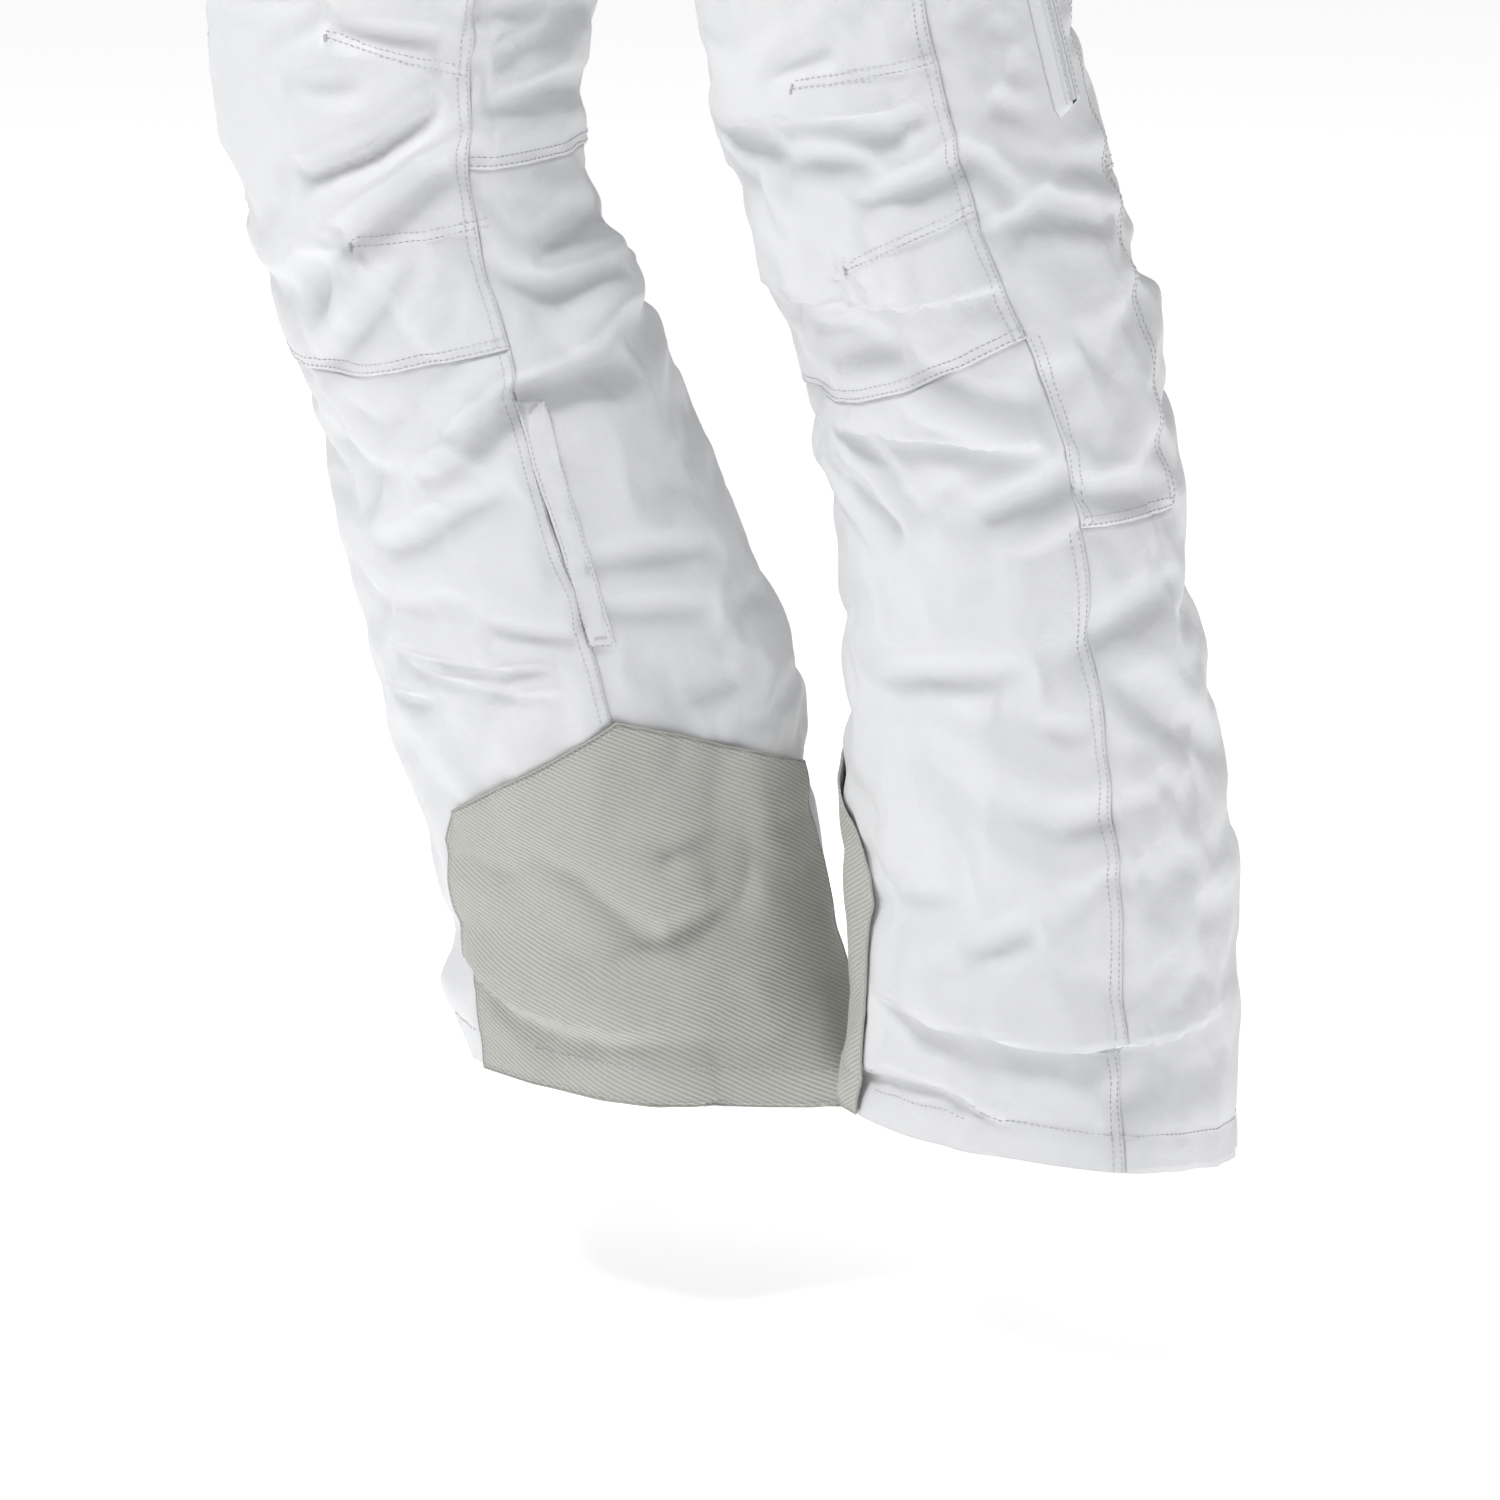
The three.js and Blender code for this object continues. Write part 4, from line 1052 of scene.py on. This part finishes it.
guard_trees = {}
for side, way_number in WAYS.items():
    tree = leg_trees[side]
    guard, places = laid_on(f"scuff_guard_{side}_twill", skin_of(f"scuff_guard_{side}", GUARD_PLY), tree,
                            way_number, GUARD_LIFT, guard_twill, overlap=GUARD_OVERLAP)
    edge = border_of(guard.data)
    add_cloth_map(guard, places)
    guard_trees[side] = surface_of(guard.data)
    middle = edge.mean(0)
    row = bmesh.new()
    add_stitches(row, eased_in(edge, middle, 2.6 * MM), guard_trees[side])
    stitch_parts[side].append(row)
    with_modifier(guard, "SOLIDIFY", thickness=GUARD_THICKNESS, offset=-1)
    applied(guard)
    finished(guard, "pants", "guard_twill", f"scuff_guard_{side}")
    binding = tube_along(f"guard_binding_{side}", edge, BINDING_RADIUS, guard_binding)
    finished(binding, "pants", "guard_twill")

# ---- Hems and plackets ---------------------------------------------------------------------
# Each hem is turned up and held by one row of stitches. On the inner seam a narrow stitched
# placket ends in a bartack at each end.

HEM_BELOW = -1.0
PLACKET_PLY = 1.2 * MM
PLACKET_LIFT = 0.9 * MM
for side, way_number in WAYS.items():
    cloth_tree, guard_tree = leg_trees[side], guard_trees[side]
    hem = [chain for chain in chains(open_edges)
           if whole_points[chain, 2].max() < HEM_BELOW and way[chain[0]] == way_number]
    for chain in hem:
        raised = whole_points[chain] + np.array([0, 0, HEM_ROW_RISE])
        bare, covered = [], []
        for point in raised:
            spot = Vector(point)
            near = guard_tree.find_nearest(spot)[3]
            (covered if near < 4 * MM else bare).append(spot)
        part = bmesh.new()
        for line, tree in ((bare, cloth_tree), (covered, guard_tree)):
            runs = [[line[0]]]
            for a, b in zip(line, line[1:]):
                if (b - a).length > 12 * MM:
                    runs.append([])
                runs[-1].append(b)
            for run in runs:
                if len(run) > 2:
                    add_stitches(part, run, tree)
        stitch_parts[side].append(part)
    placket, _ = laid_on(f"calf_placket_{side}_cloth", skin_of(f"calf_placket_{side}", PLACKET_PLY),
                              cloth_tree, way_number, PLACKET_LIFT, shell_fabric)
    edge = border_of(placket.data)
    placket_tree = surface_of(placket.data)
    part = bmesh.new()
    inner_edge = eased_in(edge, edge.mean(0) * np.array([1, 1, 0]) + edge * np.array([0, 0, 1]), 1.6 * MM)
    add_stitches(part, inner_edge, placket_tree)
    for tip in (edge[np.argmax(edge[:, 2])], edge[np.argmin(edge[:, 2])]):
        height = tip[2] + (4 * MM if tip[2] < edge[:, 2].mean() else -4 * MM)
        band = edge[abs(edge[:, 2] - height) < 3 * MM]
        add_bartack(part, placket_tree, Vector(band.mean(0)), Vector((0.6, -0.8, 0)), 10 * MM)
    stitch_parts[side].append(part)
    with_modifier(placket, "SOLIDIFY", thickness=0.7 * MM, offset=-1)
    applied(placket)
    finished(placket, "pants", "shell_fabric", f"calf_placket_{side}")

# ---- Waist: belt loops, side tabs, hook pads and seat pocket flap --------------------------
# Folded strips of the shell cloth, pressed flat, with stitched edges. A tab's free end holds to
# a knitted hook pad; the flap covers the seat pocket.


def sewn_copy(name, node, edge_mm, material, levels=0):
    """A cut piece with its own edges softened, from a merged copy of the plain solid."""
    shape = bmesh.new()
    shape.from_mesh(nodes[node].data)
    bmesh.ops.remove_doubles(shape, verts=shape.verts, dist=1e-5)
    bmesh.ops.dissolve_limit(shape, angle_limit=math.radians(1), verts=shape.verts, edges=shape.edges)
    sharp = [e for e in shape.edges if len(e.link_faces) == 2 and e.calc_face_angle(0) > math.radians(35)]
    bmesh.ops.bevel(shape, geom=sharp, offset=edge_mm * MM, segments=3, profile=0.5, affect="EDGES",
                    material=-1, clamp_overlap=True)
    piece = as_object(name, shape, material)
    if levels:
        subdivided(piece, levels)
    return piece


def stitched_patch(node, ply, inset, tree):
    sheet = skin_of(node, ply)
    flat = bpy.data.meshes.new("patch")
    sheet.to_mesh(flat)
    sheet.free()
    edge = border_of(flat)
    part = bmesh.new()
    add_stitches(part, eased_in(edge, edge.mean(0), inset), tree)
    return part


webbing = cloth_material("folded_shell_strip", "#E2E2E4", "#D6D7DA", 0.6, 0.1, 1.4, 0.4, 0.2)
hook_pad = cloth_material("knitted_hook_pad", "#6E7075", "#4E5055", 0.95, 0.3, 1.8, 0.9, 0.9)
thread_parts = {"pants": [], "waist_tab_left": [], "waist_tab_right": [], "seat_pocket_flap": []}
for node in sorted(n for n in nodes if n.startswith("belt_loop")):
    loop_piece = sewn_copy(f"{node}_strip", node, 0.5, webbing)
    finished(loop_piece, "pants", "shell_fabric", node)
    tree = surface_of(loop_piece.data)
    points = points_of(loop_piece.data)
    outward = points.mean(0) * np.array([1, 1, 0])
    outward = Vector(outward).normalized()
    sideways = Vector((-outward.y, outward.x, 0))
    top, bottom = points[:, 2].max(), points[:, 2].min()
    centre = Vector(points.mean(0))
    for edge_way in (-3.8, 3.8):
        line = [Vector((centre.x, centre.y, height)) + sideways * edge_way * MM + outward * 0.02
                for height in np.linspace(top - 3 * MM, bottom + 3 * MM, 12)]
        part = bmesh.new()
        add_stitches(part, line, tree)
        thread_parts["pants"].append(part)
    for height in (top - 4 * MM, bottom + 4 * MM):
        part = bmesh.new()
        spot = Vector((centre.x, centre.y, height)) + outward * 0.02
        add_bartack(part, tree, spot, sideways, 8 * MM)
        thread_parts["pants"].append(part)

FLAP_PLY = 1.8 * MM
TAB_PLY = 1.6 * MM
for side in SIDES:
    finished(sewn_copy(f"waist_pad_{side}_knit", f"waist_pad_{side}", 0.25, hook_pad), "pants", "hook_pad",
             f"waist_pad_{side}")
    tab = sewn_copy(f"waist_tab_{side}_cloth", f"waist_tab_{side}", 0.6, webbing)
    finished(tab, f"waist_tab_{side}", "shell_fabric", f"waist_tab_{side}")
    row = stitched_patch(f"waist_tab_{side}", TAB_PLY, 3 * MM, surface_of(tab.data))
    thread_parts[f"waist_tab_{side}"].append(row)
flap = sewn_copy("seat_pocket_flap_cloth", "seat_pocket_flap", 0.6, webbing)
finished(flap, "seat_pocket_flap", "shell_fabric", "seat_pocket_flap")
for inset in (2.5, 7.5):
    row = stitched_patch("seat_pocket_flap", FLAP_PLY, inset * MM, surface_of(flap.data))
    thread_parts["seat_pocket_flap"].append(row)

# ---- Zips ----------------------------------------------------------------------------------
# Woven polyester tape with a moulded coil, set between two turned lips of the shell cloth. The
# slider and its puller are die-cast zinc with a brushed nickel finish.

TAPE_PLY = 1.0 * MM
COIL_PITCH = 1.6 * MM
COIL_HALF = 1.55 * MM
COIL_RISE = 0.75 * MM
LIP_INNER = 2.7 * MM
LIP_OUTER = 11 * MM
LIP_OVERRUN = 7 * MM

zip_tape = cloth_material("woven_zip_tape", "#E4E5E7", "#D2D3D6", 0.7, 0.1, 1.3, 0.6, 0.2)
coil_plastic, coil_tree, coil_shader = new_material("moulded_nylon_coil")
coil_place = add_node(coil_tree, "ShaderNodeTexCoord").outputs["Object"]
coil_cloud = add_node(coil_tree, "ShaderNodeTexNoise", {"Scale": 300, "Detail": 2}, {"Vector": coil_place})
coil_shade = add_node(coil_tree, "ShaderNodeMix",
                      {"data_type": "RGBA", 6: colour("#D9DADC"), 7: colour("#C9CACD")},
                      {0: coil_cloud.outputs["Fac"]})
coil_tree.links.new(coil_shade.outputs[2], coil_shader.inputs["Base Color"])
coil_shader.inputs["Roughness"].default_value = 0.32


def metal_material(name, light, dark, roughness, grain_mm):
    material, tree, shader = new_material(name)
    place = add_node(tree, "ShaderNodeTexCoord").outputs["Object"]
    stretch = add_node(tree, "ShaderNodeMapping", {"Scale": (1, 1, 0.08)}, {"Vector": place})
    grain = add_node(tree, "ShaderNodeTexNoise", {"Scale": 1 / (grain_mm * MM), "Detail": 3},
                     {"Vector": stretch.outputs["Vector"]})
    shade = add_node(tree, "ShaderNodeMix", {"data_type": "RGBA", 6: colour(dark), 7: colour(light)},
                     {0: grain.outputs["Fac"]})
    tree.links.new(shade.outputs[2], shader.inputs["Base Color"])
    spread = add_node(tree, "ShaderNodeMapRange", {"To Min": roughness - 0.06, "To Max": roughness + 0.08},
                      {"Value": grain.outputs["Fac"]})
    tree.links.new(spread.outputs["Result"], shader.inputs["Roughness"])
    bump = add_node(tree, "ShaderNodeBump", {"Strength": 0.15, "Distance": 0.0001},
                    {"Height": grain.outputs["Fac"]})
    tree.links.new(bump.outputs["Normal"], shader.inputs["Normal"])
    shader.inputs["Metallic"].default_value = 1
    return material


nickel = metal_material("brushed_nickel_zinc", "#C9CBCF", "#A9ACB1", 0.3, 0.5)


def frame_of(points):
    """The long way, the broad way and the outward way of a flat piece, and its middle."""
    middle = points.mean(0)
    _, _, ways = np.linalg.svd(points - middle, full_matrices=False)
    long_way, _, outward = (Vector(way) for way in ways)
    if long_way.z > 0:
        long_way = -long_way
    if outward.dot(Vector((middle[0] if abs(middle[0]) > 0.05 else 0, middle[1], 0))) < 0:
        outward = -outward
    return long_way, outward.cross(long_way), outward, Vector(middle)


for name in ("pocket_left", "pocket_right", "vent_left", "vent_right", "fly"):
    side = "right" if name.endswith("right") else "left"
    tape = sewn_copy(f"{name}_zip_tape", f"{name}_zip", 0.2, zip_tape)
    finished(tape, "pants", "zip_tape", f"{name}_zip")
    raw = np.unique(np.round(points_of(nodes[f"{name}_zip"].data), 7), axis=0)
    along, across_way, outward, middle = frame_of(raw)
    spans = [np.array((raw - np.array(middle)) @ np.array(axis)) for axis in (along, across_way, outward)]
    start, end = spans[0].min(), spans[0].max()
    base = spans[2].min()
    tape_middle = (spans[1].min() + spans[1].max()) / 2
    coil_top = base + TAPE_PLY + COIL_RISE * 0.55

    def at(run, over, up):
        return middle + along * run + across_way * (over + tape_middle) + outward * up

    coil = bmesh.new()
    turn = Matrix((along, across_way, outward)).transposed().to_4x4()
    for count, run in enumerate(np.arange(start + 2 * MM, end - 2 * MM, COIL_PITCH)):
        shift = 0.35 * MM * (1 if count % 2 else -1)
        lean = Matrix.Rotation(math.radians(14 if count % 2 else -14), 4, "Z")
        scale = Matrix.Diagonal((COIL_PITCH * 0.92, COIL_HALF * 2, COIL_RISE * 1.5, 1))
        place_matrix = Matrix.Translation(at(run, shift, coil_top)) @ turn @ lean @ scale
        bmesh.ops.create_icosphere(coil, subdivisions=1, radius=0.5, matrix=place_matrix)
    finished(as_object(f"{name}_zip_coil", coil, coil_plastic), "pants", "zip_tape")

    tree = leg_trees[side] if name != "fly" else whole_tree
    for lip_way in (-1, 1):
        lip = bmesh.new()
        bmesh.ops.create_grid(lip, x_segments=80, y_segments=8, size=0.5)
        for vertex in lip.verts:
            run = start - LIP_OVERRUN + (vertex.co.x + 0.5) * (end - start + 2 * LIP_OVERRUN)
            share = vertex.co.y + 0.5
            beyond = max(start - run, run - end, 0) / LIP_OVERRUN
            over = LIP_INNER * (1 - smooth(beyond, 0, 1)) + share * (LIP_OUTER - LIP_INNER) + 0.1 * MM
            foot = at(run, over * lip_way, 0.05)
            spot = tree.ray_cast(foot, -outward)[0]
            ground = (spot - middle).dot(outward) if spot is not None else base
            crown = base + TAPE_PLY + 0.55 * MM
            height = crown + (ground + 0.5 * MM - crown) * smooth(share, 0.35, 1)
            height = height + (ground + 0.6 * MM - height) * smooth(beyond, 0.2, 1)
            vertex.co = at(run, over * lip_way, max(height, ground + 0.3 * MM))
        if lip_way < 0:
            bmesh.ops.reverse_faces(lip, faces=lip.faces)
        lip_piece = as_object(f"{name}_zip_lip_{'a' if lip_way < 0 else 'b'}", lip, shell_fabric)
        lip_tree = surface_of(lip_piece.data)
        row = bmesh.new()
        add_stitches(row, [at(run, lip_way * (LIP_INNER + 2 * MM), 0.003)
                           for run in np.linspace(start, end, 30)], lip_tree)
        thread_parts["pants"].append(row)
        with_modifier(lip_piece, "SOLIDIFY", thickness=0.45 * MM, offset=-1)
        applied(lip_piece)
        finished(lip_piece, "pants", "shell_fabric")
    for run in (start - LIP_OVERRUN * 0.35, end + LIP_OVERRUN * 0.35):
        tack = bmesh.new()
        add_bartack(tack, tree, at(run, 0, 0.002), across_way, 12 * MM)
        thread_parts["pants"].append(tack)
    for part in ("slider", "puller"):
        metal = sewn_copy(f"{name}_{part}_metal", f"{name}_{part}", 0.22, nickel)
        finished(metal, f"{name}_{part}", "zip_metal", f"{name}_{part}")

# ---- Waist snap ----------------------------------------------------------------------------
# A pressed brass cap, nickel plated: a rolled rim round a shallow dish.

snap_points = np.unique(np.round(points_of(nodes["waist_snap"].data), 7), axis=0)
snap_middle = Vector(snap_points.mean(0))
_, _, snap_ways = np.linalg.svd(snap_points - snap_points.mean(0), full_matrices=False)
snap_out = Vector(snap_ways[2])
if snap_out.y > 0:
    snap_out = -snap_out
snap_reach = max((Vector(p) - snap_middle - snap_out * (Vector(p) - snap_middle).dot(snap_out)).length
                 for p in snap_points)
snap_rise = max(abs((Vector(p) - snap_middle).dot(snap_out)) for p in snap_points)
SNAP_PROFILE = [(0, 0.25), (0.3, 0.3), (0.55, 0.45), (0.68, 0.8), (0.8, 1), (0.92, 0.9),
                (1, 0.45), (1, -0.2), (0.94, -1), (0, -1)]
snap = bmesh.new()
profile = [snap.verts.new((r * snap_reach, 0, z * snap_rise)) for r, z in SNAP_PROFILE]
edges = [snap.edges.new(pair) for pair in zip(profile, profile[1:])]
bmesh.ops.spin(snap, geom=profile + edges, axis=(0, 0, 1), cent=(0, 0, 0), steps=48, angle=math.tau,
               use_merge=True)
bmesh.ops.remove_doubles(snap, verts=snap.verts, dist=1e-6)
bmesh.ops.recalc_face_normals(snap, faces=snap.faces)
snap_turn = Vector((0, 0, 1)).rotation_difference(snap_out).to_matrix().to_4x4()
bmesh.ops.transform(snap, matrix=Matrix.Translation(snap_middle) @ snap_turn, verts=snap.verts)
finished(as_object("waist_snap_cap", snap, nickel), "pants", "zip_metal", "waist_snap")

# ---- Inside: lining, pocket bags, fly underlap ---------------------------------------------
# Slippery grey polyester taffeta, hung inside the shell and sewn in at the waistband.

LINING_PLY = 1.6 * MM
LINING_DEPTH = 4 * MM


def kept_inside(points, tree, side_way, depth):
    """Points moved in towards the leg's middle line, at least a depth inside the folded shell."""
    moved = []
    for point in points:
        if point[2] < LEG_TOP:
            across, back = middle_at(side_way, point[2])
            axis = Vector((across, back, point[2]))
            spoke = Vector(point) - axis
            spot = tree.ray_cast(axis, spoke.normalized())[0]
            reach = (spot - axis).length - depth if spot is not None else spoke.length
            moved.append(axis + spoke.normalized() * min(spoke.length, reach))
            continue
        spot, normal, _, _ = tree.find_nearest(Vector(point))
        inside = (spot - Vector(point)).dot(normal)
        moved.append(spot - normal * max(inside, depth))
    return np.array(moved)


taffeta = cloth_material("polyester_taffeta_lining", "#C4C6CA", "#B2B4B9", 0.42, 0.05, 1.0, 0.3, 0.5)
for side, way_number in WAYS.items():
    sheet = skin_of(f"lining_{side}", LINING_PLY)
    quads(sheet)
    lining = as_object(f"lining_{side}_taffeta", sheet, taffeta)
    subdivided(lining, 3)
    points = points_of(lining.data)
    inward = kept_inside(points, leg_trees[side], way_number, LINING_DEPTH)
    set_points(lining.data, inward)
    ripple = normals_of(lining.data) * (abs(crumple(points, 30, 5)) * -2 * MM)[:, None]
    set_points(lining.data, inward + ripple)
    with_modifier(lining, "SOLIDIFY", thickness=0.4 * MM, offset=-1)
    applied(lining)
    finished(lining, "pants", "lining", f"lining_{side}")
    bag = sewn_copy(f"pocket_bag_{side}_taffeta", f"pocket_bag_{side}", 0.5, taffeta)
    finished(bag, "pants", "lining", f"pocket_bag_{side}")
underlap = sewn_copy("fly_underlap_taffeta", "fly_underlap", 0.4, taffeta)
finished(underlap, "pants", "lining", "fly_underlap")

# ---- Snow gaiters --------------------------------------------------------------------------
# A taffeta cuff inside each hem, gathered onto a rubberised grip elastic, with a lace hook.

GAITER_PLY = 1.2 * MM
ELASTIC_PLY = 2.2 * MM
GATHERS = 46
GAITER_DEPTH = 8 * MM
grip_elastic = cloth_material("rubberised_grip_elastic", "#55585C", "#3F4145", 0.6, 0.0, 2.4, 0.8, 0.3)
hook_metal = metal_material("nickel_lace_hook", "#B9BBBF", "#94979B", 0.38, 0.5)
for side, way_number in WAYS.items():
    for node, ply, depth, slot_name, material in (
            (f"gaiter_{side}", GAITER_PLY, 1.6, "lining", taffeta),
            (f"gaiter_elastic_{side}", ELASTIC_PLY, 0.35, "grip_elastic", grip_elastic)):
        sheet = skin_of(node, ply)
        quads(sheet)
        cuff = as_object(f"{node}_cuff", sheet, material)
        subdivided(cuff, 4)
        points = points_of(cuff.data)
        turn = leg_places(points, way_number)
        low = smooth(points[:, 2].max() - points[:, 2], 0, np.ptp(points[:, 2]))
        wave = np.sin(np.radians(turn) * GATHERS + crumple(points, 40, 9) * 2) * depth * (0.25 + 0.75 * low)
        inward = kept_inside(points, leg_trees[side], way_number, GAITER_DEPTH)
        set_points(cuff.data, inward + normals_of(cuff.data) * ((wave - depth) * MM)[:, None])
        with_modifier(cuff, "SOLIDIFY", thickness=ply * 0.4, offset=-1)
        applied(cuff)
        finished(cuff, "pants", slot_name, node)
    hook = sewn_copy(f"lace_hook_{side}_metal", f"lace_hook_{side}", 0.3, hook_metal)
    finished(hook, "pants", "zip_metal", f"lace_hook_{side}")

# ---- All the thread ------------------------------------------------------------------------
# The stitches of each leg, and those of each moving piece, are one piece of thread work that
# rides with the cloth that they hold.

for side in SIDES:
    thread = as_object(f"topstitching_{side}", merged(stitch_parts[side]), thread_with_painted_shade)
    finished(thread, "pants", "shell_fabric")
for body, parts in thread_parts.items():
    name = "topstitching_waist" if body == "pants" else f"topstitching_{body}"
    finished(as_object(name, merged(parts), thread_with_painted_shade), body, "shell_fabric")
